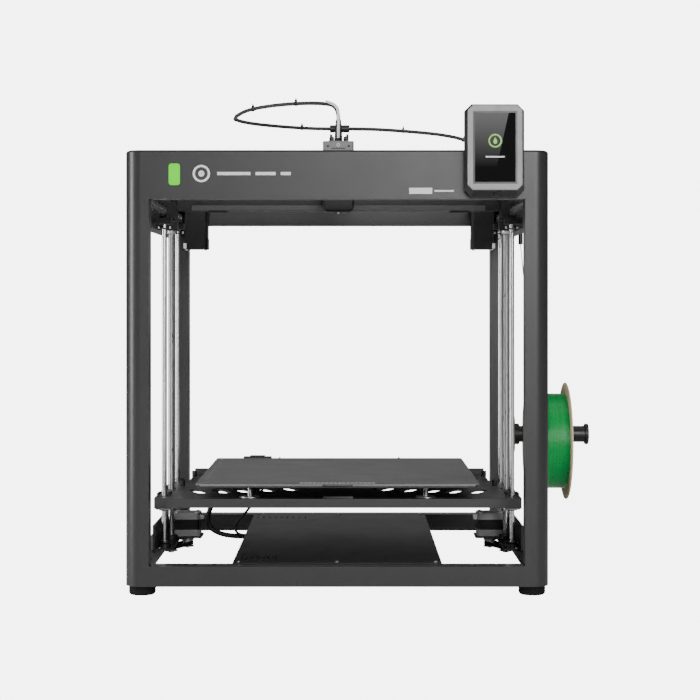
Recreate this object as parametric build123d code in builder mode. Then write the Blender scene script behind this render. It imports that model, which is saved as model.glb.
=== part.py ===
"""Large desktop filament printer: a box frame, a bed that lifts, a gantry that moves in the plane
and a spool on its right side. Millimetres, +X right, +Y back, +Z up, standing on z = 0.
Lengths are laid out about the middle of the frame and every piece is moved once, on saving, so
that the origin lies under the middle of the whole object."""
from build123d import *
import math
import os

# Frame
FRAME_WIDTH = 590.0
FRAME_DEPTH = 615.0
FRAME_HEIGHT = 606.0
FOOT_HEIGHT = 14.0
FOOT_RADIUS = 18.5
FOOT_INSET_X = 22.0
FOOT_INSET_Y = 28.0
COLUMN_WIDTH = 34.0
COLUMN_DEPTH = 30.0
COLUMN_ROUND = 22.0
COLUMN_CAP = 3.0
TOP_ROUND = 4.0
WALL = 2.0
TOP_FRONT_HEIGHT = 68.0
TOP_REAR_HEIGHT = 79.0
TOP_SIDE_HEIGHT = 101.0
BEAM_HEIGHT = 28.0
SIDE_THICKNESS = 20.0
BEAM_WINDOW = 66.0  # width of the opening for the mains inlet

# Guide rods, lead screws and their drives
ROD_RADIUS = 4.0
ROD_INSET = 14.0
ROD_SPACING = 194.0
SCREW_Y = -10.5
SCREW_RADIUS = 5.0
COLLAR_RADIUS = 7.0
COLLAR_HEIGHT = 10.0
JOURNAL_RADIUS = 4.0
BASE_PLATE_Z = 37.0
PLATE = 3.0
GUSSET_HEIGHT = 37.0
SOCKET_HEIGHT = 6.0
HOLDER_HALF = 11.0
HOLDER_HEIGHT = 9.0
Z_PULLEY_RADIUS = 7.8
Z_PULLEY_Z = 21.0
Z_PULLEY_HEIGHT = 12.0
MOTOR_SIZE = 42.3
MOTOR_CORNER = 4.0
MOTOR_BORE = 2.7
MOTOR_BOSS = 11.0
SHAFT_RADIUS = 2.5
Z_MOTOR_INSET = 35.0
Z_MOTOR_Y = 37.5
Z_MOTOR_HEIGHT = 36.0
XY_MOTOR_INSET = 29.0
XY_MOTOR_HEIGHT = 65.0
XY_PULLEY_RADIUS = 6.0
BELT_WIDTH = 6.0
BELT_THICKNESS = 1.4
FLANGE = 1.5

# Bed
BED_SIZE = 410.0
HEATER_SIZE = 404.0
HEATER_THICKNESS = 4.2
SHEET_THICKNESS = 1.8
BED_TOP = 147.0
SHEET_CORNER = 5.0
TAB_WIDTH = 40.0
TAB_DEPTH = 6.0
PAN_Z = 115.0
PAN_WIDTH = 488.0
PAN_FRONT = 227.0
PAN_REAR = 223.5
PAN_RIM = 13.0
WING_FRONT = 129.0
WING_REAR = 120.5
WING_FLANGE = 13.0
WING_GAP = 2.0
BLOCK_HALF = 12.0
BLOCK_HEIGHT = 17.0
NUT_HEIGHT = 8.0
NUT_RADIUS = 12.0
POST_X = 131.0
POST_Y = 115.5
POST_RADIUS = 4.0
POST_BASE = (16.0, 1.5)  # radius and thickness
PAN_SLOT = (54.0, 19.0)  # length and width
PAN_SLOT_SLANT = 65.0  # degrees from the cross direction
FRONT_SLOTS = ((77.0, -13.0), (112.0, -27.0), (147.0, -39.0), (180.0, -47.0), (214.0, -50.0))
REAR_SLOTS = ((77.0, 160.0), (112.0, 160.0), (147.0, 160.0), (180.0, 160.0), (214.0, 160.0))
PAN_WINDOW = (60.0, 56.0)
WINDOW_AT = (42.0, 50.0)
Z_TRAVEL = 398.0

# Gantry and toolhead
NOZZLE_Z = 546.0
BEAM_Z = 552.0
BEAM_SIDE = 20.0
BEAM_Y = 15.5
BEAM_GAP = 63.0
RAIL_WIDTH = 12.0
RAIL_HEIGHT = 8.0
RAIL_Z = 550.0
CARRIAGE_LENGTH = 40.0
CARRIAGE_WIDTH = 27.0
CARRIAGE_PLATE = 4.0
X_RAIL_WIDTH = 8.0
X_RAIL_HEIGHT = 4.0
X_RAIL_LIFT = 4.4  # from the beam's underside to the middle of its rail
BELT_Z = 580.0
TOOL_WIDTH = 48.0
BLOCK_WIDTH = 44.0
TOOL_DEPTH = 37.0
TOOL_BOTTOM = 547.7
TOOL_TOP = 657.0
TOOL_GAP = 14.0
NOZZLE_Y = -20.5
FAN_Z = 595.0
FAN_Y = -26.0
FAN_RADIUS = 13.0
RELIEF_HEIGHT = 36.0

# Display and status light on the front
DISPLAY_X = 217.0
DISPLAY_Z = 617.7
DISPLAY_WIDTH = 82.0
DISPLAY_HEIGHT = 127.5
DISPLAY_DEPTH = 25.0
BEZEL_WIDTH = 75.0
BEZEL_HEIGHT = 117.0
BEZEL_THICKNESS = 3.0
BEZEL_RAISE = 3.2
GLASS_WIDTH = 56.0
GLASS_HEIGHT = 95.0
LIGHT_X = -225.5
LIGHT_Z = 586.0
LIGHT_WIDTH = 15.7
LIGHT_HEIGHT = 30.0

# Spool and its holder
SPOOL_RADIUS = 100.0
SPOOL_BORE = 26.0
SPOOL_CORE = 33.0
SPOOL_INNER_GAP = 30.0
SPOOL_WIDTH = 65.0
CARD = 2.0
WINDING_RADIUS = 80.5
SPOOL_INSET_Y = 38.0
SPOOL_Z = 170.0
SPINDLE_RADIUS = 14.0
SPINDLE_END = 133.0
SPINDLE_FLANGE = 17.2
BRACKET_HEIGHT = 60.0
BRACKET_THICKNESS = 6.0

# Electronics
TRAY_WIDTH = 294.0
TRAY_Z = 15.0
TRAY_WALL = 1.5
COVER_THICKNESS = 2.0
INLET_X = -105.0
SWITCH_X = -66.0
SWITCH_TILT = 6.0

# Cables
CABLE = 6.0
CLAMP_INSET = 22.5  # the cable's clamp, from the frame's back
CLAMP_HEIGHT = 89.0
GLAND_INSET_X = 44.0
GLAND_INSET_Y = 15.5
GLAND_HEIGHT = 12.0
FEED_TUBE = 4.5
BED_CABLE = 8.0
SENSOR_CABLE = 4.0
FILAMENT = 1.75
RUN = 0.05  # radial clearance of what turns or slides on a shaft or rod
AIR = 0.4  # clearance of what passes another piece without touching it

# Worked out from the above
HALF_WIDTH = FRAME_WIDTH / 2
HALF_DEPTH = FRAME_DEPTH / 2
TOP = FOOT_HEIGHT + FRAME_HEIGHT
BEAM_TOP = FOOT_HEIGHT + BEAM_HEIGHT
INNER_X = HALF_WIDTH - SIDE_THICKNESS
INNER_Y = HALF_DEPTH - COLUMN_DEPTH
COLUMN_X = HALF_WIDTH - COLUMN_WIDTH
ROD_X = INNER_X - ROD_INSET
ROD_YS = (SCREW_Y - ROD_SPACING / 2, SCREW_Y + ROD_SPACING / 2)
PLATE_TOP = BASE_PLATE_Z + PLATE
PAN_TOP = PAN_Z + PLATE
HEATER_Z = BED_TOP - SHEET_THICKNESS - HEATER_THICKNESS
HOLDER_Z = RAIL_Z - CARRIAGE_WIDTH / 2 - 1.5 - HOLDER_HEIGHT
SCREW_TOP = PAN_Z - PLATE * 3 + Z_TRAVEL + 4
COLLAR_TOP = SCREW_TOP + COLLAR_HEIGHT
XY_MOTOR_X = INNER_X - XY_MOTOR_INSET
XY_MOTOR_Y = INNER_Y - MOTOR_SIZE / 2
XY_MOTOR_TOP = 564.0
Z_MOTOR_X = INNER_X - Z_MOTOR_INSET
IDLER_Y = -INNER_Y + 15.0
BEAM_HALF = HALF_WIDTH - BEAM_GAP
BEAM_FRONT = BEAM_Y - BEAM_SIDE / 2
COVER_BACK = BEAM_FRONT - TOOL_GAP
COVER_FRONT = COVER_BACK - TOOL_DEPTH
DISPLAY_FRONT = -HALF_DEPTH - DISPLAY_DEPTH - BEZEL_THICKNESS
SPOOL_INNER = HALF_WIDTH + SPOOL_INNER_GAP
SPOOL_OUTER = SPOOL_INNER + SPOOL_WIDTH
SPOOL_Y = HALF_DEPTH - SPOOL_INSET_Y
SPINDLE_Z = SPOOL_Z + SPOOL_BORE - SPINDLE_RADIUS - AIR
TRAY_TOP = BEAM_TOP - 1.0
LEFT_TO_RIGHT = (-HALF_WIDTH, HALF_WIDTH + SPINDLE_END)
FRONT_TO_BACK = (DISPLAY_FRONT, SPOOL_Y + SPOOL_RADIUS)
TO_ORIGIN = Location((-sum(LEFT_TO_RIGHT) / 2, -sum(FRONT_TO_BACK) / 2, 0))

SIDES = (("left", -1), ("right", 1))
ENDS = (("front", -1), ("rear", 1))

# Cable routes, about the middle of the frame
UMBILICAL_FRONT = [
    (0, -14.5, TOOL_TOP + RELIEF_HEIGHT),
    (0, -14.5, 715),
    (-30, -13, 719),
    (-66, -3, 719.5),
    (-101, 17, 719),
    (-133, 46, 717.5),
    (-155, 80, 715.5),
    (-165.5, 115, 713.5),
]
UMBILICAL_REAR = [
    UMBILICAL_FRONT[-1],
    (-174.5, 145, 711.8),
    (-165, 185, 711),
    (-142, 221, 710.5),
    (-108, 251, 710),
    (-72, 273, 709.5),
    (-36, 285, 709),
    (0, 285, 709),
]
UMBILICAL_TAIL = [
    UMBILICAL_REAR[-1],
    (40, 285, 709),
    (86, 286.5, 707),
    (134, 288, 703.5),
    (180, 289.5, 699),
    (222, 291, 690),
    (251, 292, 668),
    (251, 292, 632),
]
FEED_ROUTE = [
    (0, -24, TOOL_TOP),
    (0, -24, 676),
    (0.5, -24, 697),
    (-2, -23, 716),
    (-20, -19, 721),
]
BED_CABLE_ROUTE = [
    (-196, 74, PAN_Z),
    (-196, 74, 98),
    (-207, 77, 78),
    (-213, 79, 57),
    (-205, 80, 41),
    (-178, 80, 31),
    (-TRAY_WIDTH / 2, 80, 31),
]
SENSOR_CABLE_ROUTE = [
    (-122, 66, PAN_Z),
    (-122, 66, 103),
    (-136, 66, 88),
    (-152, 66, 68),
    (-167, 66, 52),
    (-164, 66, 35),
    (-TRAY_WIDTH / 2, 66, 35),
]
FILAMENT_ROUTE = [
    (HALF_WIDTH + 17, SPOOL_Y, 507.5),
    (HALF_WIDTH + 21, SPOOL_Y - 14, 446),
    (HALF_WIDTH + 28, SPOOL_Y - 30, 386),
    (HALF_WIDTH + 37, SPOOL_Y - 46, 322),
    (HALF_WIDTH + 48, SPOOL_Y - 60, 262),
    (HALF_WIDTH + 56, SPOOL_Y - 71, 210.5),
]


def save(name, piece):
    """Label one finished piece and write it, moved to the object's origin."""
    finished = piece.part.moved(TO_ORIGIN)
    finished.label = name
    export_step(finished, f"parts/{name}.step")


def slab(x, y, z, mode=Mode.ADD):
    """A block between two limits along each axis."""
    with Locations((sum(x) / 2, sum(y) / 2, sum(z) / 2)):
        Box(abs(x[1] - x[0]), abs(y[1] - y[0]), abs(z[1] - z[0]), mode=mode)


def upright(x, y, z, radius, mode=Mode.ADD):
    """A vertical cylinder between two heights."""
    with Locations((x, y, sum(z) / 2)):
        Cylinder(radius, z[1] - z[0], mode=mode)


def crosswise(x, y, z, radius, mode=Mode.ADD):
    """A cylinder along X between two limits."""
    with Locations((sum(x) / 2, y, z)):
        Cylinder(radius, x[1] - x[0], rotation=(0, 90, 0), mode=mode)


def box_section(x, y, z, along):
    """A hollow beam, open at both ends along one axis."""
    slab(x, y, z)
    inside = [(low + WALL, high - WALL) for low, high in (x, y, z)]
    inside[along] = (x, y, z)[along]
    slab(*inside, mode=Mode.SUBTRACT)


# Frame ---------------------------------------------------------------------------------------


def column(side, end):
    """A hollow corner column with a round outer corner and a softened top."""
    inner_x, inner_y = side * COLUMN_X, end * INNER_Y
    middle = (side * (HALF_WIDTH - COLUMN_WIDTH / 2), end * (HALF_DEPTH - COLUMN_DEPTH / 2))
    corner = (side * HALF_WIDTH, end * HALF_DEPTH)
    with BuildPart() as post:
        with BuildSketch(Plane.XY.offset(FOOT_HEIGHT)) as outline:
            with Locations(middle):
                Rectangle(COLUMN_WIDTH, COLUMN_DEPTH)
            fillet(outline.vertices().sort_by_distance(corner)[0], COLUMN_ROUND)
        extrude(amount=FRAME_HEIGHT)
        rim = post.faces().sort_by(Axis.Z)[-1].edges()
        fillet([e for e in rim if abs(e.center().X - inner_x) > 1 and abs(e.center().Y - inner_y) > 1],
               TOP_ROUND)
        with BuildSketch(Plane.XY.offset(FOOT_HEIGHT)) as hollow:
            with Locations(middle):
                Rectangle(COLUMN_WIDTH - 2 * WALL, COLUMN_DEPTH - 2 * WALL)
            fillet(hollow.vertices().sort_by_distance(corner)[0], COLUMN_ROUND - WALL)
        extrude(amount=FRAME_HEIGHT - COLUMN_CAP, mode=Mode.SUBTRACT)
    return post


def top_panel(end, height):
    """A box-section panel between two columns, with its outer top edge softened."""
    y = (end * INNER_Y, end * HALF_DEPTH)
    with BuildPart() as panel:
        slab((-COLUMN_X, COLUMN_X), y, (TOP - height, TOP))
        outer = panel.edges().filter_by(Axis.X).sort_by_distance((0, end * HALF_DEPTH, TOP))[0]
        fillet(outer, TOP_ROUND)
        slab((-COLUMN_X, COLUMN_X), (y[0] + end * WALL, y[1] - end * WALL),
             (TOP - height + WALL, TOP - WALL), Mode.SUBTRACT)
    return panel


def top_front_panel():
    """The front panel, with the window of the status light."""
    panel = top_panel(-1, TOP_FRONT_HEIGHT)
    with BuildPart() as front:
        add(panel.part)
        with BuildSketch(Plane.XZ.offset(HALF_DEPTH)):
            with Locations((LIGHT_X, LIGHT_Z)):
                RectangleRounded(LIGHT_WIDTH, LIGHT_HEIGHT, 4)
        extrude(amount=-WALL, mode=Mode.SUBTRACT)
    save("top_front_panel", front)


def status_light():
    """The lens of the status light, set in the front panel's window."""
    with BuildPart() as lens:
        with BuildSketch(Plane.XZ.offset(HALF_DEPTH - WALL)):
            with Locations((LIGHT_X, LIGHT_Z)):
                RectangleRounded(LIGHT_WIDTH - 0.1, LIGHT_HEIGHT - 0.1, 4)
        extrude(amount=WALL + 0.6)
        with BuildSketch(Plane.XZ.offset(HALF_DEPTH - 2 * WALL)):
            with Locations((LIGHT_X, LIGHT_Z)):
                RectangleRounded(LIGHT_WIDTH + 6, LIGHT_HEIGHT + 6, 5)
        extrude(amount=WALL)
    save("status_light", lens)


def frame():
    """Columns, panels, beams and feet."""
    for side_name, side in SIDES:
        for end_name, end in ENDS:
            save(f"column_{end_name}_{side_name}", column(side, end))
    top_front_panel()
    save("top_rear_panel", top_panel(1, TOP_REAR_HEIGHT))
    with BuildPart() as side_panels:
        for _, side in SIDES:
            x = sorted((side * INNER_X, side * HALF_WIDTH))
            slab(x, (-INNER_Y, INNER_Y), (TOP - TOP_SIDE_HEIGHT, TOP))
            outer = side_panels.edges().filter_by(Axis.Y).sort_by_distance((side * HALF_WIDTH, 0, TOP))
            fillet(outer[0], TOP_ROUND)
            slab((x[0] + WALL, x[1] - WALL), (-INNER_Y, INNER_Y),
                 (TOP - TOP_SIDE_HEIGHT + WALL, TOP - WALL), Mode.SUBTRACT)
    save("top_side_panels", side_panels)
    with BuildPart() as cross_beams:
        for y in ((-HALF_DEPTH, -INNER_Y), (INNER_Y, HALF_DEPTH)):
            box_section((-COLUMN_X, COLUMN_X), y, (FOOT_HEIGHT, BEAM_TOP), 0)
        middle = (INLET_X + SWITCH_X) / 2
        slab((middle - BEAM_WINDOW / 2, middle + BEAM_WINDOW / 2), (HALF_DEPTH - WALL, HALF_DEPTH),
             (FOOT_HEIGHT + 2 * WALL, BEAM_TOP - 2 * WALL), Mode.SUBTRACT)
    save("bottom_cross_beams", cross_beams)
    with BuildPart() as side_beams:
        for _, side in SIDES:
            x = sorted((side * INNER_X, side * HALF_WIDTH))
            box_section(x, (-INNER_Y, INNER_Y), (FOOT_HEIGHT, BEAM_TOP), 1)
    save("bottom_side_beams", side_beams)
    with BuildPart() as feet:
        for _, side in SIDES:
            for _, end in ENDS:
                centre = (side * (HALF_WIDTH - FOOT_INSET_X), end * (HALF_DEPTH - FOOT_INSET_Y))
                upright(*centre, (0, FOOT_HEIGHT), FOOT_RADIUS)
        chamfer(feet.edges().group_by(Axis.Z)[0], 2)
    save("feet", feet)
    status_light()


# Lifting gear --------------------------------------------------------------------------------


def guide_rods():
    """Two guide rods on each side, standing on the base plates."""
    with BuildPart() as rods:
        for _, side in SIDES:
            for y in ROD_YS:
                upright(side * ROD_X, y, (PLATE_TOP, HOLDER_Z + HOLDER_HEIGHT - PLATE), ROD_RADIUS)
        chamfer(rods.edges().group_by(Axis.Z)[-1], 0.6)
    save("guide_rods", rods)


def top_corner_brackets():
    """Rod and screw holders, the plates of the upper motors and the arms of the front idlers."""
    with BuildPart() as brackets:
        for _, side in SIDES:
            reach = (side * (ROD_X - HOLDER_HALF), side * INNER_X)
            for y in ROD_YS:
                span = (y - HOLDER_HALF, y + HOLDER_HALF)
                slab(reach, span, (HOLDER_Z, HOLDER_Z + HOLDER_HEIGHT))
                upright(side * ROD_X, y, (HOLDER_Z, HOLDER_Z + HOLDER_HEIGHT - PLATE),
                        ROD_RADIUS + RUN, Mode.SUBTRACT)
            span = (SCREW_Y - HOLDER_HALF, SCREW_Y + HOLDER_HALF)
            slab(reach, span, (COLLAR_TOP + 2, HOLDER_Z + HOLDER_HEIGHT))
            upright(side * ROD_X, SCREW_Y, (COLLAR_TOP + 2, HOLDER_Z + HOLDER_HEIGHT - PLATE),
                    JOURNAL_RADIUS + RUN, Mode.SUBTRACT)
            deck = (XY_MOTOR_TOP, XY_MOTOR_TOP + PLATE)
            depth = (INNER_Y - MOTOR_SIZE, INNER_Y)
            slab((side * (XY_MOTOR_X - MOTOR_SIZE / 2 - 3), side * INNER_X), depth, deck)
            slab((side * (INNER_X - PLATE), side * INNER_X), depth, (deck[1], deck[1] + 26))
            upright(side * XY_MOTOR_X, XY_MOTOR_Y, deck, MOTOR_BOSS + AIR, Mode.SUBTRACT)
            x, low = side * XY_MOTOR_X, BELT_Z - 2.5 - AIR
            slab((x - 10, x + 10), (-INNER_Y, IDLER_Y + 8), (low - 4, low))
            upright(x, IDLER_Y, (low, BELT_Z + BELT_WIDTH + 5), 2.5)
    save("top_corner_brackets", brackets)


def z_base_brackets():
    """Base plates that carry the rods, the screws' bearings and the lower motors."""
    half = MOTOR_SIZE / 2 + 3
    front, back = ROD_YS[0] - BLOCK_HALF, ROD_YS[1] + BLOCK_HALF
    with BuildPart() as plates:
        for _, side in SIDES:
            deck = (BASE_PLATE_Z, PLATE_TOP)
            slab((side * (ROD_X - 13), side * INNER_X), (front, back), deck)
            slab((side * (Z_MOTOR_X - half), side * (ROD_X - 12)), (Z_MOTOR_Y - half, Z_MOTOR_Y + half), deck)
            slab((side * (INNER_X - PLATE), side * INNER_X), (front - 20, back),
                 (BASE_PLATE_Z, PLATE_TOP + GUSSET_HEIGHT))
            for y in ROD_YS:
                upright(side * ROD_X, y, (PLATE_TOP, PLATE_TOP + SOCKET_HEIGHT), 9)
                upright(side * ROD_X, y, (PLATE_TOP, PLATE_TOP + SOCKET_HEIGHT),
                        ROD_RADIUS + RUN, Mode.SUBTRACT)
            upright(side * ROD_X, SCREW_Y, (PLATE_TOP, PLATE_TOP + SOCKET_HEIGHT), 10.5)
            upright(side * ROD_X, SCREW_Y, (BASE_PLATE_Z, PLATE_TOP + SOCKET_HEIGHT),
                    SCREW_RADIUS + RUN, Mode.SUBTRACT)
            upright(side * Z_MOTOR_X, Z_MOTOR_Y, deck, MOTOR_BOSS + AIR, Mode.SUBTRACT)
    save("z_base_brackets", plates)


def motor(x, y, low, height, shaft_end):
    """A square stepper motor with recessed laminations; its shaft leaves at the given end, 1 is up."""
    bell = height * 0.28
    with BuildSketch(Plane.XY.offset(low)) as face:
        with Locations((x, y)):
            Rectangle(MOTOR_SIZE, MOTOR_SIZE)
        chamfer(face.vertices(), MOTOR_CORNER)
    extrude(face.sketch, amount=height)
    with BuildSketch(Plane.XY.offset(low + bell)) as waist:
        with Locations((x, y)):
            Rectangle(MOTOR_SIZE, MOTOR_SIZE)
            Rectangle(MOTOR_SIZE - 1.6, MOTOR_SIZE - 1.6, mode=Mode.SUBTRACT)
    extrude(waist.sketch, amount=height - 2 * bell, mode=Mode.SUBTRACT)
    face_z = low + height if shaft_end > 0 else low
    boss = sorted((face_z, face_z + shaft_end * PLATE))
    upright(x, y, boss, MOTOR_BOSS)
    bore = sorted((face_z + shaft_end * PLATE, face_z - shaft_end * 8))
    upright(x, y, bore, MOTOR_BORE, Mode.SUBTRACT)


def stepper_motors():
    """Two motors that turn the lead screws and two that move the gantry."""
    with BuildPart() as motors:
        for _, side in SIDES:
            motor(side * Z_MOTOR_X, Z_MOTOR_Y, PLATE_TOP, Z_MOTOR_HEIGHT, -1)
            motor(side * XY_MOTOR_X, XY_MOTOR_Y, XY_MOTOR_TOP - XY_MOTOR_HEIGHT, XY_MOTOR_HEIGHT, 1)
    save("stepper_motors", motors)


def pulley(x, y, low, height, radius):
    """A belt pulley: a barrel between two flanges."""
    upright(x, y, (low, low + height), radius)
    upright(x, y, (low, low + FLANGE), radius + 2.5)
    upright(x, y, (low + height - FLANGE, low + height), radius + 2.5)


def belt_loop(start, end, low, radius):
    """A closed belt round two equal pulleys."""
    length = math.dist(start, end)
    angle = math.degrees(math.atan2(end[1] - start[1], end[0] - start[0]))
    with BuildSketch(Plane.XY.offset(low)) as loop:
        with Locations(((start[0] + end[0]) / 2, (start[1] + end[1]) / 2)):
            SlotCenterToCenter(length, 2 * (radius + BELT_THICKNESS), rotation=angle)
            SlotCenterToCenter(length, 2 * radius, rotation=angle, mode=Mode.SUBTRACT)
    extrude(loop.sketch, amount=BELT_WIDTH)


def drive_belts():
    """The belts of the lead screws and the two long gantry belts."""
    with BuildPart() as belts:
        for _, side in SIDES:
            screw, motor_axis = (side * ROD_X, SCREW_Y), (side * Z_MOTOR_X, Z_MOTOR_Y)
            belt_loop(screw, motor_axis, Z_PULLEY_Z + 3, Z_PULLEY_RADIUS + 0.2)
            back, front = (side * XY_MOTOR_X, XY_MOTOR_Y), (side * XY_MOTOR_X, IDLER_Y)
            belt_loop(front, back, BELT_Z, XY_PULLEY_RADIUS + 0.2)
    save("drive_belts", belts)


def screws_and_pulleys():
    """Lead screws with their pulleys, the motors' pulleys and the front idlers."""
    for name, side in SIDES:
        with BuildPart() as screw:
            x = side * ROD_X
            upright(x, SCREW_Y, (Z_PULLEY_Z - 2, SCREW_TOP), SCREW_RADIUS)
            upright(x, SCREW_Y, (SCREW_TOP, COLLAR_TOP), COLLAR_RADIUS)
            upright(x, SCREW_Y, (COLLAR_TOP, HOLDER_Z + HOLDER_HEIGHT - PLATE - 1), JOURNAL_RADIUS)
            pulley(x, SCREW_Y, Z_PULLEY_Z, Z_PULLEY_HEIGHT, Z_PULLEY_RADIUS)
        save(f"lead_screw_{name}", screw)
        with BuildPart() as lower:
            x = side * Z_MOTOR_X
            upright(x, Z_MOTOR_Y, (Z_PULLEY_Z - 2, PLATE_TOP + 5), SHAFT_RADIUS)
            pulley(x, Z_MOTOR_Y, Z_PULLEY_Z, Z_PULLEY_HEIGHT, Z_PULLEY_RADIUS)
        save(f"z_pulley_{name}", lower)
        with BuildPart() as upper:
            x = side * XY_MOTOR_X
            upright(x, XY_MOTOR_Y, (XY_MOTOR_TOP - 5, BELT_Z + BELT_WIDTH + 4), SHAFT_RADIUS)
            pulley(x, XY_MOTOR_Y, BELT_Z - 2.5, BELT_WIDTH + 5, XY_PULLEY_RADIUS)
        save(f"xy_pulley_{name}", upper)
        with BuildPart() as idler:
            pulley(x, IDLER_Y, BELT_Z - 2.5, BELT_WIDTH + 5, XY_PULLEY_RADIUS)
            upright(x, IDLER_Y, (BELT_Z - 2.5, BELT_Z + BELT_WIDTH + 2.5), 2.5 + RUN, Mode.SUBTRACT)
        save(f"idler_{name}", idler)


def y_rails():
    """The gantry's rails on the side panels."""
    with BuildPart() as rails:
        for _, side in SIDES:
            slab((side * (INNER_X - RAIL_HEIGHT), side * INNER_X), (-INNER_Y + 6, INNER_Y - MOTOR_SIZE),
                 (RAIL_Z - RAIL_WIDTH / 2, RAIL_Z + RAIL_WIDTH / 2))
    save("y_rails", rails)


# Bed -----------------------------------------------------------------------------------------


def bed_carrier():
    """A sheet-metal pan with lightening slots, a rim, and wings that reach the rods."""
    wing = ROD_X + BLOCK_HALF
    front, rear = SCREW_Y - PAN_FRONT, SCREW_Y + PAN_REAR
    half = PAN_WIDTH / 2
    with BuildPart() as pan:
        slab((-half, half), (front, rear), (PAN_Z, PAN_TOP))
        slab((-half, half), (front, front + WALL), (PAN_Z, PAN_Z + PAN_RIM))
        slab((-half, half), (rear - WALL, rear), (PAN_Z, PAN_Z + PAN_RIM))
        for _, side in SIDES:
            slab((side * (half - 1), side * wing), (SCREW_Y - WING_FRONT, SCREW_Y + WING_REAR),
                 (PAN_Z, PAN_TOP))
            slab((side * (half + 4), side * wing), (SCREW_Y - WING_FRONT, SCREW_Y - WING_FRONT + WALL),
                 (PAN_Z - WING_FLANGE, PAN_Z))
            for y in ROD_YS:
                upright(side * ROD_X, y, (PAN_Z, PAN_TOP), ROD_RADIUS + WING_GAP, Mode.SUBTRACT)
            upright(side * ROD_X, SCREW_Y, (PAN_Z, PAN_TOP), COLLAR_RADIUS + WING_GAP, Mode.SUBTRACT)
        with BuildSketch(Plane.XY.offset(PAN_Z)):
            for _, side in SIDES:
                for slots, slant in ((FRONT_SLOTS, PAN_SLOT_SLANT), (REAR_SLOTS, -PAN_SLOT_SLANT)):
                    for x, y in slots:
                        with Locations((side * x, y)):
                            SlotOverall(*PAN_SLOT, rotation=side * slant)
                with Locations((side * WINDOW_AT[0], WINDOW_AT[1])):
                    RectangleRounded(*PAN_WINDOW, 6)
        extrude(amount=PLATE, mode=Mode.SUBTRACT)
    save("bed_carrier", pan)


def bed_top():
    """Posts, heated plate and the removable build sheet with its lifting tab."""
    with BuildPart() as posts:
        with Locations((0, SCREW_Y, 0)):
            with GridLocations(2 * POST_X, 2 * POST_Y, 2, 2):
                with Locations((0, 0, PAN_TOP + POST_BASE[1] / 2)):
                    Cylinder(*POST_BASE)
                with Locations((0, 0, (PAN_TOP + HEATER_Z) / 2)):
                    Cylinder(POST_RADIUS, HEATER_Z - PAN_TOP)
    save("bed_posts", posts)
    with BuildPart() as heater:
        with BuildSketch(Plane.XY.offset(HEATER_Z)):
            with Locations((0, SCREW_Y)):
                RectangleRounded(HEATER_SIZE, HEATER_SIZE, SHEET_CORNER)
        extrude(amount=HEATER_THICKNESS)
    save("heated_bed", heater)
    with BuildPart() as sheet:
        with BuildSketch(Plane.XY.offset(HEATER_Z + HEATER_THICKNESS)):
            with Locations((0, SCREW_Y)):
                RectangleRounded(BED_SIZE, BED_SIZE, SHEET_CORNER)
            with Locations((0, SCREW_Y - BED_SIZE / 2)):
                RectangleRounded(TAB_WIDTH, 2 * TAB_DEPTH, 4)
        extrude(amount=SHEET_THICKNESS)
    save("build_sheet", sheet)


def bed_runners():
    """Bearing blocks on the rods, lead nuts on the screws and the nozzle wiper."""
    with BuildPart() as blocks:
        for _, side in SIDES:
            for y in ROD_YS:
                x = side * ROD_X
                slab((x - BLOCK_HALF, x + BLOCK_HALF), (y - BLOCK_HALF, y + BLOCK_HALF),
                     (PAN_Z - BLOCK_HEIGHT, PAN_Z))
                upright(x, y, (PAN_Z - BLOCK_HEIGHT, PAN_Z), ROD_RADIUS + RUN, Mode.SUBTRACT)
        chamfer(blocks.edges().filter_by(Axis.Z).filter_by(GeomType.LINE), 2)
    save("bearing_blocks", blocks)
    with BuildPart() as nuts:
        for _, side in SIDES:
            x, low = side * ROD_X, PAN_Z - 3 * PLATE - NUT_HEIGHT
            upright(x, SCREW_Y, (low, PAN_Z), NUT_RADIUS)
            upright(x, SCREW_Y, (low, PAN_Z), SCREW_RADIUS + RUN, Mode.SUBTRACT)
            upright(x, SCREW_Y, (low + NUT_HEIGHT, PAN_Z), COLLAR_RADIUS + 1, Mode.SUBTRACT)
    save("lead_nuts", nuts)
    back = SCREW_Y + BED_SIZE / 2
    with BuildPart() as wiper:
        slab((-146, -129), (back + 4, back + 12), (PAN_TOP, BED_TOP))
        slab((-161, -114), (back + 2, back + 14), (BED_TOP - 4, BED_TOP + 2))
        slab((-150, -125), (back + 5, back + 11), (BED_TOP + 2, BED_TOP + 4))
    save("nozzle_wiper", wiper)


# Gantry and toolhead -------------------------------------------------------------------------


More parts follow.
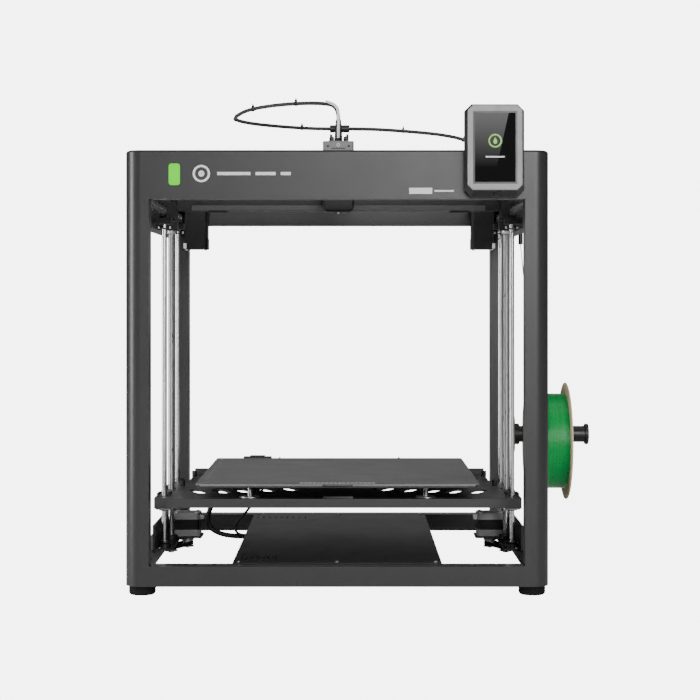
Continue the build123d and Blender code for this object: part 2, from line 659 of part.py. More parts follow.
def gantry():
    """The cross beam, its rail, and a carriage at each end that rides on a side rail."""
    back = BEAM_FRONT + BEAM_SIDE
    with BuildPart() as beam:
        box_section((-BEAM_HALF, BEAM_HALF), (BEAM_FRONT, back), (BEAM_Z, BEAM_Z + BEAM_SIDE), 0)
    save("x_beam", beam)
    middle = BEAM_Z + X_RAIL_LIFT
    with BuildPart() as rail:
        slab((-BEAM_HALF + 2, BEAM_HALF - 2), (BEAM_FRONT - X_RAIL_HEIGHT, BEAM_FRONT),
             (middle - X_RAIL_WIDTH / 2, middle + X_RAIL_WIDTH / 2))
    save("x_rail", rail)
    front = back - CARRIAGE_LENGTH
    inner = INNER_X - RAIL_HEIGHT - AIR
    low, high = RAIL_Z - CARRIAGE_WIDTH / 2, RAIL_Z + CARRIAGE_WIDTH / 2
    deck = BEAM_Z + BEAM_SIDE
    with BuildPart() as carriages:
        for _, side in SIDES:
            slab((side * (inner - 5), side * (INNER_X - 3)), (front, back), (low, high))
            slab((side * inner, side * (INNER_X - 3)), (front, back),
                 (RAIL_Z - RAIL_WIDTH / 2 - AIR, RAIL_Z + RAIL_WIDTH / 2 + AIR), Mode.SUBTRACT)
            slab((side * (inner - 13), side * (inner - 5)), (front, back), (low, deck + CARRIAGE_PLATE))
            slab((side * (BEAM_HALF - 56), side * (inner - 13)), (BEAM_FRONT, back),
                 (deck, deck + CARRIAGE_PLATE))
            slab((side * (BEAM_HALF - 57), side * (BEAM_HALF - 28)), (BEAM_FRONT, back), (BEAM_Z - 3, BEAM_Z))
            slab((side * BEAM_HALF, side * (inner - 13)), (BEAM_FRONT, back), (BEAM_Z, deck))
    save("y_carriages", carriages)


def tool_carriage():
    """The block that slides on the cross beam's rail and carries the toolhead."""
    middle = BEAM_Z + X_RAIL_LIFT
    half = BLOCK_WIDTH / 2
    with BuildPart() as block:
        slab((-half, half), (COVER_BACK, BEAM_FRONT - 1), (BEAM_Z - PLATE, TOOL_TOP - 17))
        slab((-half, half), (BEAM_FRONT - X_RAIL_HEIGHT - AIR, BEAM_FRONT),
             (middle - X_RAIL_WIDTH / 2 - AIR, middle + X_RAIL_WIDTH / 2 + AIR), Mode.SUBTRACT)
    save("tool_carriage", block)


def toolhead_cover():
    """The shell round the hotend, open at its back, with a nozzle opening and a fan grille."""
    half = TOOL_WIDTH / 2
    with BuildPart() as cover:
        slab((-half, half), (COVER_FRONT, COVER_BACK), (TOOL_BOTTOM, TOOL_TOP))
        fillet(cover.edges().filter_by(Axis.Z).group_by(Axis.Y)[0], 4)
        fillet(cover.faces().sort_by(Axis.Z)[0].edges().filter_by(Axis.Y), 8)
        chamfer(cover.faces().sort_by(Axis.Z)[-1].edges().group_by(Axis.Y)[0], 1.2)
        slab((-half + WALL, half - WALL), (COVER_FRONT + WALL, COVER_BACK),
             (TOOL_BOTTOM + 3 * WALL, TOOL_TOP - WALL), Mode.SUBTRACT)
        upright(0, NOZZLE_Y, (TOOL_BOTTOM, TOOL_BOTTOM + 3 * WALL), 8, Mode.SUBTRACT)
        crosswise((-half, -half + WALL), FAN_Y, FAN_Z, FAN_RADIUS, Mode.SUBTRACT)
        wall, reach = (-half, -half + WALL), FAN_RADIUS + 0.5
        slab(wall, (FAN_Y - reach, FAN_Y + reach), (FAN_Z - 1, FAN_Z + 1))
        slab(wall, (FAN_Y - 1, FAN_Y + 1), (FAN_Z - reach, FAN_Z + reach))
        crosswise((-half, -half + WALL), FAN_Y, FAN_Z, 4)
        crosswise((-half + WALL, -half + 9), FAN_Y, FAN_Z, 1.5)
    save("toolhead_cover", cover)


def hotend():
    """Heat sink, heater block and nozzle, on the carriage."""
    with BuildPart() as hot:
        upright(0, NOZZLE_Y, (564, 636), 3)
        for level in range(7):
            low = 582 + 4 * level
            upright(0, NOZZLE_Y, (low, low + 1.6), 9.5)
        slab((-9, 9), (NOZZLE_Y - 7, NOZZLE_Y + 7), (554, 566))
        with Locations((0, NOZZLE_Y, (NOZZLE_Z + 554) / 2)):
            Cone(0.8, 4, 554 - NOZZLE_Z)
        slab((-8, 8), (NOZZLE_Y - 6, COVER_BACK), (622, 636))
    save("hotend", hot)


def fan_rotor():
    """The rotor of the cooling fan, on the pin behind the grille."""
    x = (-TOOL_WIDTH / 2 + WALL + AIR, -TOOL_WIDTH / 2 + 9)
    with BuildPart() as rotor:
        crosswise(x, FAN_Y, FAN_Z, 5.5)
        with BuildSketch(Plane.YZ.offset(x[0])):
            with Locations((FAN_Y, FAN_Z)):
                with PolarLocations(0, 7):
                    with Locations((7.5, 0)):
                        Rectangle(8.5, 1.4, rotation=20)
        extrude(amount=x[1] - x[0])
        crosswise(x, FAN_Y, FAN_Z, 1.5 + RUN, Mode.SUBTRACT)
    save("fan_rotor", rotor)


def cable_relief():
    """The ribbed strain relief and two tie posts on top of the toolhead."""
    top = TOOL_TOP + RELIEF_HEIGHT
    with BuildPart() as relief:
        with Locations((0, -14.5, (TOOL_TOP + top) / 2)):
            Cone(6.5, 4, RELIEF_HEIGHT)
        for x in (-11.5, 14.0):
            slab((x - 2, x + 2), (-18, -12), (TOOL_TOP, TOOL_TOP + 13))
    save("cable_relief", relief)


# Display, spool, electronics -----------------------------------------------------------------


def display():
    """A wedge-edged housing on the front panel, its bezel and its glass."""
    bezel_z = DISPLAY_Z + BEZEL_RAISE
    back, front = HALF_DEPTH, HALF_DEPTH + DISPLAY_DEPTH
    with BuildPart() as housing:
        for level, inset in ((back, 0.0), (back + DISPLAY_DEPTH * 0.6, 0.0), (front, 3.0)):
            with BuildSketch(Plane.XZ.offset(level)) as outline:
                with Locations((DISPLAY_X, DISPLAY_Z + inset * BEZEL_RAISE / 3)):
                    Rectangle(DISPLAY_WIDTH - 2 * inset, DISPLAY_HEIGHT - 3.4 * inset)
                chamfer(outline.vertices(), 9)
        loft(ruled=True)
    save("display_housing", housing)
    with BuildPart() as bezel:
        with BuildSketch(Plane.XZ.offset(front)) as outline:
            with Locations((DISPLAY_X, bezel_z)):
                Rectangle(BEZEL_WIDTH, BEZEL_HEIGHT)
            chamfer(outline.vertices(), 7)
        extrude(amount=BEZEL_THICKNESS)
        chamfer(bezel.faces().sort_by(Axis.Y)[0].edges(), 1.2)
        slab((DISPLAY_X - GLASS_WIDTH / 2, DISPLAY_X + GLASS_WIDTH / 2),
             (-front - BEZEL_THICKNESS, -front - 1),
             (bezel_z - GLASS_HEIGHT / 2, bezel_z + GLASS_HEIGHT / 2), Mode.SUBTRACT)
    save("display_bezel", bezel)
    with BuildPart() as glass:
        slab((DISPLAY_X - GLASS_WIDTH / 2 + 0.1, DISPLAY_X + GLASS_WIDTH / 2 - 0.1),
             (-front - 2.4, -front - 1),
             (bezel_z - GLASS_HEIGHT / 2 + 0.1, bezel_z + GLASS_HEIGHT / 2 - 0.1))
    save("display_glass", glass)


def spool_holder():
    """The side bracket and spindle that the spool hangs on, and the bent guide for the filament."""
    plate = (HALF_WIDTH, HALF_WIDTH + BRACKET_THICKNESS)
    with BuildPart() as bracket:
        slab(plate, (SPOOL_Y - 18, INNER_Y + 8),
             (SPINDLE_Z - BRACKET_HEIGHT / 2, SPINDLE_Z + BRACKET_HEIGHT / 2))
        fillet(bracket.edges().filter_by(Axis.X).group_by(Axis.Y)[0], 10)
        crosswise((plate[1], plate[1] + 8), SPOOL_Y, SPINDLE_Z, SPINDLE_RADIUS + 4)
        x = HALF_WIDTH
        with BuildLine() as route:
            FilletPolyline((x + 6, SPOOL_Y, 590), (x + 17, SPOOL_Y, 570), (x + 17, SPOOL_Y, 508), radius=14)
        with BuildSketch(Plane(origin=(x + 6, SPOOL_Y, 590), z_dir=(11, 0, -20))):
            Circle(4)
        sweep(path=route.wire())
        slab((x, x + 11), (SPOOL_Y - 9, SPOOL_Y + 8), (584, 604))
    save("spool_bracket", bracket)
    end = HALF_WIDTH + SPINDLE_END
    with BuildPart() as spindle:
        crosswise((plate[1] + 8, end), SPOOL_Y, SPINDLE_Z, SPINDLE_RADIUS)
        crosswise((end - 6, end), SPOOL_Y, SPINDLE_Z, SPINDLE_FLANGE)
        crosswise((plate[1] + 30, end), SPOOL_Y, SPINDLE_Z, SPINDLE_RADIUS - 3, Mode.SUBTRACT)
    save("spool_spindle", spindle)


def spool():
    """A card spool with its winding of filament."""
    with BuildPart() as reel:
        crosswise((SPOOL_INNER, SPOOL_OUTER), SPOOL_Y, SPOOL_Z, SPOOL_CORE)
        for low in (SPOOL_INNER, SPOOL_OUTER - CARD):
            crosswise((low, low + CARD), SPOOL_Y, SPOOL_Z, SPOOL_RADIUS)
        crosswise((SPOOL_INNER, SPOOL_OUTER), SPOOL_Y, SPOOL_Z, SPOOL_BORE, Mode.SUBTRACT)
    save("spool", reel)
    with BuildPart() as winding:
        crosswise((SPOOL_INNER + CARD, SPOOL_OUTER - CARD), SPOOL_Y, SPOOL_Z, WINDING_RADIUS)
        crosswise((SPOOL_INNER + CARD, SPOOL_OUTER - CARD), SPOOL_Y, SPOOL_Z, SPOOL_CORE, Mode.SUBTRACT)
    save("filament_winding", winding)


def electronics():
    """The base tray, its vented cover, and the power supply and mainboard inside."""
    half = TRAY_WIDTH / 2
    floor = TRAY_Z + TRAY_WALL
    with BuildPart() as tray:
        slab((-half, half), (-INNER_Y, INNER_Y), (TRAY_Z, TRAY_TOP))
        slab((-half + TRAY_WALL, half - TRAY_WALL), (-INNER_Y, INNER_Y), (floor, TRAY_TOP), Mode.SUBTRACT)
    save("electronics_tray", tray)
    with BuildPart() as cover:
        slab((-half, half), (-INNER_Y, INNER_Y), (TRAY_TOP, TRAY_TOP + COVER_THICKNESS))
        with BuildSketch(Plane.XY.offset(TRAY_TOP)):
            with Locations((-half + 49, INNER_Y - 51)):
                with GridLocations(10, 12, 9, 2):
                    SlotOverall(7, 3, rotation=90)
            with Locations((-half + 35, -INNER_Y + 46)):
                with GridLocations(6, 14, 9, 2):
                    SlotOverall(11, 3, rotation=90)
        extrude(amount=COVER_THICKNESS, mode=Mode.SUBTRACT)
    save("electronics_cover", cover)
    with BuildPart() as supply:
        slab((15, 125), (20, 235), (floor, TRAY_TOP - 2))
        chamfer(supply.edges().group_by(Axis.Z)[-1], 1)
    save("power_supply", supply)
    with BuildPart() as board:
        slab((-125, -25), (-240, -140), (floor + 5, floor + 6.6))
        for x in (-120, -30):
            for y in (-235, -145):
                upright(x, y, (floor, floor + 5), 3)
        for row in range(4):
            slab((-115 + 22 * row, -99 + 22 * row), (-170, -154), (floor + 6.6, floor + 17))
        slab((-90, -60), (-220, -195), (floor + 6.6, floor + 9))
    save("mainboard", board)


def power_inlet():
    """The mains inlet and the switch's housing, on one flange in the rear beam."""
    middle, z = (INLET_X + SWITCH_X) / 2, (FOOT_HEIGHT + BEAM_TOP) / 2
    back = HALF_DEPTH
    with BuildPart() as inlet:
        slab((middle - 36, middle + 36), (back, back + 2), (z - 12, z + 12))
        slab((middle - 32.9, middle + 32.9), (back - 17, back), (z - 9.9, z + 9.9))
        slab((INLET_X - 12, INLET_X + 12), (back - 15, back + 2), (z - 8, z + 8), Mode.SUBTRACT)
        for x, height in ((-7, -1.5), (0, 2.5), (7, -1.5)):
            slab((INLET_X + x - 1, INLET_X + x + 1), (back - 15, back - 2), (z + height - 2, z + height + 2))
        slab((SWITCH_X - 10, SWITCH_X + 10), (back - 12, back + 2), (z - 6.5, z + 6.5), Mode.SUBTRACT)
        for end in (-1, 1):
            slab((SWITCH_X - 3, SWITCH_X + 3), (back - 5, back - 1), (z + end * 6.1, z + end * 6.6))
    save("power_inlet", inlet)


def power_switch():
    """The rocker, tilted to its off position about a vertical pin line."""
    z = (FOOT_HEIGHT + BEAM_TOP) / 2
    with BuildPart() as rocker:
        with BuildSketch(Plane((SWITCH_X, HALF_DEPTH - 3, z - 5.8), x_dir=(1, 0, 0), z_dir=(0, 0, 1))):
            with BuildLine(Rotation(0, 0, -SWITCH_TILT)):
                Polyline((-8.5, 3.4), (0, 5.2), (8.5, 3.4), (6.5, -4), (-6.5, -4), close=True)
            make_face()
        extrude(amount=11.6)
    save("power_switch", rocker)


# Cables --------------------------------------------------------------------------------------


def tube_along(points, diameter):
    """A tube of round section along straight runs joined by tangent arcs."""
    runs = [Vector(*end) - Vector(*start) for start, end in zip(points, points[1:])]
    radii = []
    for before, after in zip(runs, runs[1:]):
        turn = math.radians(before.get_angle(after))
        radii.append(0.45 * min(before.length, after.length) / math.tan(turn / 2))
    with BuildLine() as route:
        FilletPolyline(*points, radius=radii)
    with BuildSketch(Plane(origin=points[0], z_dir=runs[0])) as section:
        Circle(diameter / 2)
    sweep(section.sketch, path=route.wire())
    print("tube from", points[0], "radii", [round(radius) for radius in radii],
          "length", round(route.wire().length))


def cord(name, *tubes):
    """One or more cables, each given by its points and its diameter."""
    with BuildPart() as cables_made:
        for points, diameter in tubes:
            tube_along(points, diameter)
    save(name, cables_made)


def cable_post():
    """The post and clamp that hold the cable above the rear panel, and its gland."""
    x, y, z = 0, HALF_DEPTH - CLAMP_INSET, TOP + CLAMP_HEIGHT
    gland = (HALF_WIDTH - GLAND_INSET_X, HALF_DEPTH - GLAND_INSET_Y)
    with BuildPart() as post:
        slab((x - 14, x + 14), (y - 7, y + 9), (TOP, TOP + 4))
        upright(x, y, (TOP + 4, z - 5), 3)
        crosswise((x - 17, x + 17), y, z, 6.5)
        crosswise((x - 17, x + 17), y, z, CABLE / 2 + RUN, Mode.SUBTRACT)
        upright(*gland, (TOP, TOP + GLAND_HEIGHT), 8)
    save("cable_post", post)


def cables():
    """Every cable, with what holds it."""
    cable_post()
    cord("umbilical_front", (UMBILICAL_FRONT, CABLE))
    cord("umbilical_rear", (UMBILICAL_REAR, CABLE))
    cord("umbilical_tail", (UMBILICAL_TAIL, CABLE))
    cord("feed_tube", (FEED_ROUTE, FEED_TUBE))
    cord("bed_cable", (BED_CABLE_ROUTE, BED_CABLE), (SENSOR_CABLE_ROUTE, SENSOR_CABLE))
    cord("filament_strand", (FILAMENT_ROUTE, FILAMENT))


os.makedirs("parts", exist_ok=True)
frame()
guide_rods()
top_corner_brackets()
z_base_brackets()
stepper_motors()
drive_belts()
screws_and_pulleys()
y_rails()
bed_carrier()
bed_top()
bed_runners()
gantry()
tool_carriage()
toolhead_cover()
hotend()
fan_rotor()
cable_relief()
display()
spool_holder()
spool()
electronics()
power_inlet()
power_switch()
cables()
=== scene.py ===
"""Looks of a large desktop filament printer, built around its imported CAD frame. Metres, +Z up."""
import math
import random

import bmesh
import bpy
from bpy.props import FloatProperty, FloatVectorProperty, IntProperty, PointerProperty
from mathutils import Matrix, Vector


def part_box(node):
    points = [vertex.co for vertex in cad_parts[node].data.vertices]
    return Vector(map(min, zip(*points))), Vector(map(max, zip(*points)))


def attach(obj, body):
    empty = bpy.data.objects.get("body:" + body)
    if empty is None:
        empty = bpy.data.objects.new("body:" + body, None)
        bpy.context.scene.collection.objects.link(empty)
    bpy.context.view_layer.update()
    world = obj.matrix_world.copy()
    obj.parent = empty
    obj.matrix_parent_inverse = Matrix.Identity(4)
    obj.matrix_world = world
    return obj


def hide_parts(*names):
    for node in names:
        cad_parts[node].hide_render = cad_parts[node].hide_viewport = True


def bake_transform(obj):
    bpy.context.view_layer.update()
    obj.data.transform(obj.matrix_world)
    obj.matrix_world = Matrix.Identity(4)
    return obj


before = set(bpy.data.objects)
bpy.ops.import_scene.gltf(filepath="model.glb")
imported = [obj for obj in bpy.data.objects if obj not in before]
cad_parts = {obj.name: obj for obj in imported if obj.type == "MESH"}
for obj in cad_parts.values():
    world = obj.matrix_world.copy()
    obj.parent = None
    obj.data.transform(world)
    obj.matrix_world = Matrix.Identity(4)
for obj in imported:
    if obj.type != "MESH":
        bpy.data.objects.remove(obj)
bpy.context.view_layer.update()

bl_info = {
    "name": "Filament Printer",
    "version": (1, 0, 0),
    "blender": (4, 5, 0),
    "location": "View3D > Sidebar > Printer",
    "description": "Adds the finishes and the fine pieces of a desktop filament printer",
    "category": "Add Mesh",
}

MM = 0.001
BACKDROP = 6.0  # strength of the white that stands behind the printer
SIDES = (("left", -1), ("right", 1))
CABLE, BED_CABLE, SENSOR_CABLE, FEED_TUBE, STRAND = 6 * MM, 8 * MM, 4 * MM, 4.5 * MM, 1.75 * MM
DUCT_TOP = 27 * MM  # height of the toolhead's black air duct
MOTOR_SIZE = 42.3 * MM
LOWER_MOTOR, UPPER_MOTOR = 36 * MM, 65 * MM  # heights of the motors
PAN_DEPTH = 16 * MM
BELT_PITCH = 2 * MM
ROD = 4  # radius of a guide rod, in millimetres
THREAD_CORE, THREAD_CREST, THREAD_SIDES = 4.35 * MM, 5 * MM, 20
PULLEY_TEETH = 24
GRIP_RIBS = 24
TURN_OVERLAP = 1.02  # turns of filament sink a little into each other
DROP_FLATNESS = 0.03
REFLECTION_SLANT = 0.22  # slant of the edge of the painted reflection on the display glass
CAMERA_AT = (0.018, -2.6735, 0.409)
CAMERA_SHIFT = -0.0686
FLOOR_REACH = 40.0


def middle_of(node):
    """The middle of a CAD node."""
    low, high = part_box(node)
    return (low + high) / 2


# The point on the floor under the middle of the frame, which the layout below is measured from.
MIDDLE = Vector((middle_of("top_front_panel").x,
                 (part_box("bottom_cross_beams")[0].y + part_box("bottom_cross_beams")[1].y) / 2, 0))


def spot(x, y, z):
    """A point given in metres about the middle of the frame, in the row frame."""
    return MIDDLE + Vector((x, y, z))


# Routes of the cables, in metres about the middle of the frame.
UMBILICAL_FRONT = [
    (0, -0.0145, 0.693), (0, -0.0145, 0.715), (-0.030, -0.013, 0.719), (-0.066, -0.003, 0.7195),
    (-0.101, 0.017, 0.719), (-0.133, 0.046, 0.7175), (-0.155, 0.080, 0.7155), (-0.1655, 0.115, 0.7135),
]
UMBILICAL_REAR = [
    (-0.1655, 0.115, 0.7135), (-0.1745, 0.145, 0.7118), (-0.165, 0.185, 0.711), (-0.142, 0.221, 0.7105),
    (-0.108, 0.251, 0.710), (-0.072, 0.273, 0.7095), (-0.036, 0.285, 0.709), (0, 0.285, 0.709),
]
UMBILICAL_TAIL = [
    (0, 0.285, 0.709), (0.040, 0.285, 0.709), (0.086, 0.2865, 0.707), (0.134, 0.288, 0.7035),
    (0.180, 0.2895, 0.699), (0.222, 0.291, 0.690), (0.251, 0.292, 0.668), (0.251, 0.292, 0.632),
]
FEED_ROUTE = [
    (0, -0.024, 0.657), (0, -0.024, 0.676), (0.0005, -0.024, 0.697), (-0.002, -0.023, 0.716),
    (-0.020, -0.019, 0.721),
]
BED_CABLE_ROUTE = [
    (-0.196, 0.074, 0.115), (-0.196, 0.074, 0.098), (-0.207, 0.077, 0.078), (-0.213, 0.079, 0.057),
    (-0.205, 0.080, 0.041), (-0.178, 0.080, 0.031), (-0.147, 0.080, 0.031),
]
SENSOR_CABLE_ROUTE = [
    (-0.122, 0.066, 0.115), (-0.122, 0.066, 0.103), (-0.136, 0.066, 0.088), (-0.152, 0.066, 0.068),
    (-0.167, 0.066, 0.052), (-0.164, 0.066, 0.035), (-0.147, 0.066, 0.035),
]
FILAMENT_ROUTE = [
    (0.312, 0.2695, 0.5075), (0.316, 0.2555, 0.446), (0.323, 0.2395, 0.386), (0.332, 0.2235, 0.322),
    (0.343, 0.2095, 0.262), (0.351, 0.1985, 0.2105),
]


# Sizes and colours that a user would change --------------------------------------------------


class StageSettings(bpy.types.PropertyGroup):
    """Floor, lights and camera."""
    floor_colour: FloatVectorProperty(name="Floor", description="Colour of the floor", subtype="COLOR",
                                      size=3, default=(0.93, 0.93, 0.93))
    key_power: FloatProperty(name="Key Light", description="Power of the large front light",
                             default=215.0, min=0.0, subtype="POWER")
    rim_power: FloatProperty(name="Left Light", description="Power of the tall light at the left",
                             default=95.0, min=0.0, subtype="POWER")
    top_power: FloatProperty(name="Top Light", description="Power of the light above",
                             default=16.0, min=0.0, subtype="POWER")
    back_power: FloatProperty(name="Back Light", description="Power of the light behind",
                              default=5.0, min=0.0, subtype="POWER")
    fill: FloatProperty(name="Fill", description="Strength of the light from all round", default=0.055,
                        min=0.0)
    lens: FloatProperty(name="Lens", description="Focal length of the camera, in millimetres",
                        default=87.8, min=20.0)


class FinishSettings(bpy.types.PropertyGroup):
    """Colours of the painted, moulded and wound parts."""
    paint: FloatVectorProperty(name="Frame Paint", description="Powder coat of the frame",
                               subtype="COLOR", size=3, default=(0.026, 0.026, 0.0265))
    black: FloatVectorProperty(name="Black", description="Black metal and plastic parts",
                               subtype="COLOR", size=3, default=(0.0045, 0.0045, 0.0048))
    filament: FloatVectorProperty(name="Filament", description="Colour of the wound filament",
                                  subtype="COLOR", size=3, default=(0.0, 0.36, 0.075))
    light: FloatVectorProperty(name="Status Light", description="Colour of the lit lens",
                               subtype="COLOR", size=3, default=(0.12, 1.0, 0.0))
    glow: FloatProperty(name="Glow", description="Brightness of the lit lens", default=1.0, min=0.0)


class DetailSettings(bpy.types.PropertyGroup):
    """Sizes of the repeated details."""
    strand: FloatProperty(name="Filament Diameter", description="Diameter of the wound strand",
                          default=1.75 * MM, min=0.5 * MM, subtype="DISTANCE")
    screw_head: FloatProperty(name="Screw Head", description="Radius of a cap screw's head",
                              default=2.75 * MM, min=1 * MM, subtype="DISTANCE")
    thread_pitch: FloatProperty(name="Thread Pitch", description="Pitch of the lead screws' thread",
                                default=2.0 * MM, min=0.5 * MM, subtype="DISTANCE")
    relief_ribs: IntProperty(name="Relief Ribs", description="Ribs on the cable's strain relief",
                             default=9, min=2)


# Materials -----------------------------------------------------------------------------------


class Finish:
    """A node material in the making: one Principled shader and what feeds it."""

    def __init__(self, name, colour, roughness, metallic=0.0, **sockets):
        self.material = bpy.data.materials.new(name)
        self.material.use_nodes = True
        self.tree = self.material.node_tree
        self.shader = self.tree.nodes["Principled BSDF"]
        self.shader.inputs["Roughness"].default_value = roughness
        self.shader.inputs["Metallic"].default_value = metallic
        for socket, value in sockets.items():
            self.shader.inputs[socket.replace("_", " ").title().replace("Ior", "IOR")].default_value = value
        self.colour = (*colour, 1.0)
        self.roughness = roughness
        self.shader.inputs["Base Color"].default_value = self.colour
        self.coords = self.add("ShaderNodeTexCoord")
        self.bumps = None

    def add(self, kind, **settings):
        node = self.tree.nodes.new(kind)
        for key, value in settings.items():
            setattr(node, key, value)
        return node

    def link(self, source, target):
        self.tree.links.new(source, target)

    def mapped(self, stretch=(1, 1, 1), space="Object"):
        """Coordinates stretched along each axis."""
        mapping = self.add("ShaderNodeMapping")
        mapping.inputs["Scale"].default_value = stretch
        self.link(self.coords.outputs[space], mapping.inputs["Vector"])
        return mapping.outputs["Vector"]

    def noise(self, scale, detail=3.0, stretch=(1, 1, 1), space="Object"):
        texture = self.add("ShaderNodeTexNoise")
        texture.inputs["Scale"].default_value = scale
        texture.inputs["Detail"].default_value = detail
        self.link(self.mapped(stretch, space), texture.inputs["Vector"])
        return texture.outputs["Fac"]

    def ranged(self, source, low, high, start=0.3, end=0.7):
        node = self.add("ShaderNodeMapRange")
        for key, value in (("From Min", start), ("From Max", end), ("To Min", low), ("To Max", high)):
            node.inputs[key].default_value = value
        self.link(source, node.inputs["Value"])
        return node.outputs["Result"]

    def mix(self, factor, first, second):
        node = self.add("ShaderNodeMix", data_type="RGBA")
        self.link(factor, node.inputs["Factor"])
        for socket, value in ((node.inputs[6], first), (node.inputs[7], second)):
            if isinstance(value, bpy.types.NodeSocket):
                self.link(value, socket)
            else:
                socket.default_value = value
        return node.outputs[2]

    def shade(self, amount, scale, stretch=(1, 1, 1)):
        """Slow colour variation about the base colour."""
        darker = (*(c * (1 - amount) for c in self.colour[:3]), 1.0)
        lighter = (*(min(1.0, c * (1 + amount)) for c in self.colour[:3]), 1.0)
        factor = self.ranged(self.noise(scale, 4.0, stretch), 0.0, 1.0)
        self.paint(self.mix(factor, darker, lighter))
        return self

    def paint(self, socket):
        self.link(socket, self.shader.inputs["Base Color"])
        return self

    def vary_roughness(self, amount, scale, stretch=(1, 1, 1)):
        low, high = max(0.02, self.roughness - amount), min(1.0, self.roughness + amount)
        self.link(self.ranged(self.noise(scale, 3.0, stretch), low, high), self.shader.inputs["Roughness"])
        return self

    def bump(self, height, strength, distance):
        """A bump from a height, on top of the bumps there already are."""
        node = self.add("ShaderNodeBump")
        node.inputs["Strength"].default_value = strength
        node.inputs["Distance"].default_value = distance
        self.link(height, node.inputs["Height"])
        if self.bumps:
            self.link(self.bumps, node.inputs["Normal"])
        self.bumps = node.outputs["Normal"]
        self.link(self.bumps, self.shader.inputs["Normal"])
        return self

    def grain(self, scale, strength, distance=0.0002, stretch=(1, 1, 1)):
        return self.bump(self.noise(scale, 2.0, stretch), strength, distance)

    def above(self, axis, level):
        """One above a level on an axis of the row frame, and nought below it."""
        parts = self.add("ShaderNodeSeparateXYZ")
        self.link(self.coords.outputs["Object"], parts.inputs["Vector"])
        compare = self.add("ShaderNodeMath", operation="GREATER_THAN")
        self.link(parts.outputs[axis], compare.inputs[0])
        compare.inputs[1].default_value = level
        return compare.outputs["Value"]

    def between(self, axis, low, high):
        """One between two levels on an axis, and nought outside them."""
        both = self.add("ShaderNodeMath", operation="SUBTRACT")
        self.link(self.above(axis, low), both.inputs[0])
        self.link(self.above(axis, high), both.inputs[1])
        return both.outputs["Value"]


def powder_coat(name, colour, roughness=0.5):
    """Baked powder paint: fine orange peel and faint handling marks."""
    finish = Finish(name, colour, roughness, specular_ior_level=0.45)
    finish.shade(0.05, 7).vary_roughness(0.02, 26)
    return finish.grain(620, 0.10).grain(2400, 0.07, 0.00008).material


def moulded(name, colour, roughness=0.42):
    """Moulded plastic with a fine spark-eroded grain."""
    finish = Finish(name, colour, roughness, specular_ior_level=0.5)
    finish.shade(0.10, 30).vary_roughness(0.07, 70)
    return finish.grain(3200, 0.12, 0.00006).material


def brushed_metal(name, colour, roughness, stretch):
    """Metal with tool marks along one axis."""
    finish = Finish(name, colour, roughness, 1.0)
    finish.shade(0.05, 40, stretch).vary_roughness(0.04, 220, stretch)
    return finish.grain(900, 0.05, 0.00003, stretch).material


def rubber(name):
    finish = Finish(name, (0.007, 0.007, 0.007), 0.75, specular_ior_level=0.2)
    return finish.shade(0.2, 60).grain(1500, 0.25, 0.0001).material


def textured_sheet(name):
    """Build sheet: a powder coat with fine bright specks and light scuffs."""
    finish = Finish(name, (0.135, 0.135, 0.137), 0.46, specular_ior_level=0.5)
    specks = finish.add("ShaderNodeTexVoronoi", feature="F1")
    specks.inputs["Scale"].default_value = 900
    finish.link(finish.mapped(), specks.inputs["Vector"])
    sparkle = finish.ranged(specks.outputs["Distance"], 1.0, 0.0, 0.02, 0.32)
    finish.paint(finish.mix(sparkle, (0.105, 0.105, 0.107, 1), (0.21, 0.21, 0.215, 1)))
    finish.vary_roughness(0.03, 14)
    return finish.bump(specks.outputs["Distance"], 0.3, 0.00012).grain(420, 0.12).material


def pressed_card(name):
    """Beige card with fibres and a slightly darker mottling."""
    finish = Finish(name, (0.60, 0.48, 0.32), 0.82, specular_ior_level=0.25)
    fibres = finish.ranged(finish.noise(260, 5.0, (1, 6, 1)), 0.0, 1.0, 0.35, 0.65)
    finish.paint(finish.mix(fibres, (0.50, 0.385, 0.25, 1), (0.70, 0.57, 0.40, 1)))
    return finish.grain(700, 0.3, 0.00015, (1, 4, 1)).material


def wound_plastic(name, colour):
    """Glossy extruded strand with a fine drawn streak."""
    finish = Finish(name, colour, 0.3, specular_ior_level=0.55, coat_weight=0.25, coat_roughness=0.18)
    finish.shade(0.16, 330, (1, 0.02, 0.02)).vary_roughness(0.04, 300)
    return finish.grain(1400, 0.05, 0.00004).material


def braided_sleeve(name):
    """Black woven sleeve; the weave follows the cable's own map."""
    finish = Finish(name, (0.018, 0.018, 0.019), 0.6, specular_ior_level=0.4, sheen_weight=0.15)
    weave = finish.add("ShaderNodeTexChecker")
    weave.inputs["Scale"].default_value = 1.0
    turned = finish.add("ShaderNodeMapping")
    turned.inputs["Scale"].default_value = (14, 900, 1)
    turned.inputs["Rotation"].default_value = (0, 0, math.radians(45))
    finish.link(finish.coords.outputs["UV"], turned.inputs["Vector"])
    finish.link(turned.outputs["Vector"], weave.inputs["Vector"])
    finish.paint(finish.mix(weave.outputs["Fac"], (0.011, 0.011, 0.012, 1), (0.034, 0.034, 0.036, 1)))
    return finish.bump(weave.outputs["Fac"], 0.5, 0.0002).material


def jacket(name, colour, roughness):
    """Smooth cable or tube jacket with a faint drawn line."""
    finish = Finish(name, colour, roughness, specular_ior_level=0.5)
    finish.shade(0.08, 90)
    return finish.grain(1100, 0.1, 0.00005).material


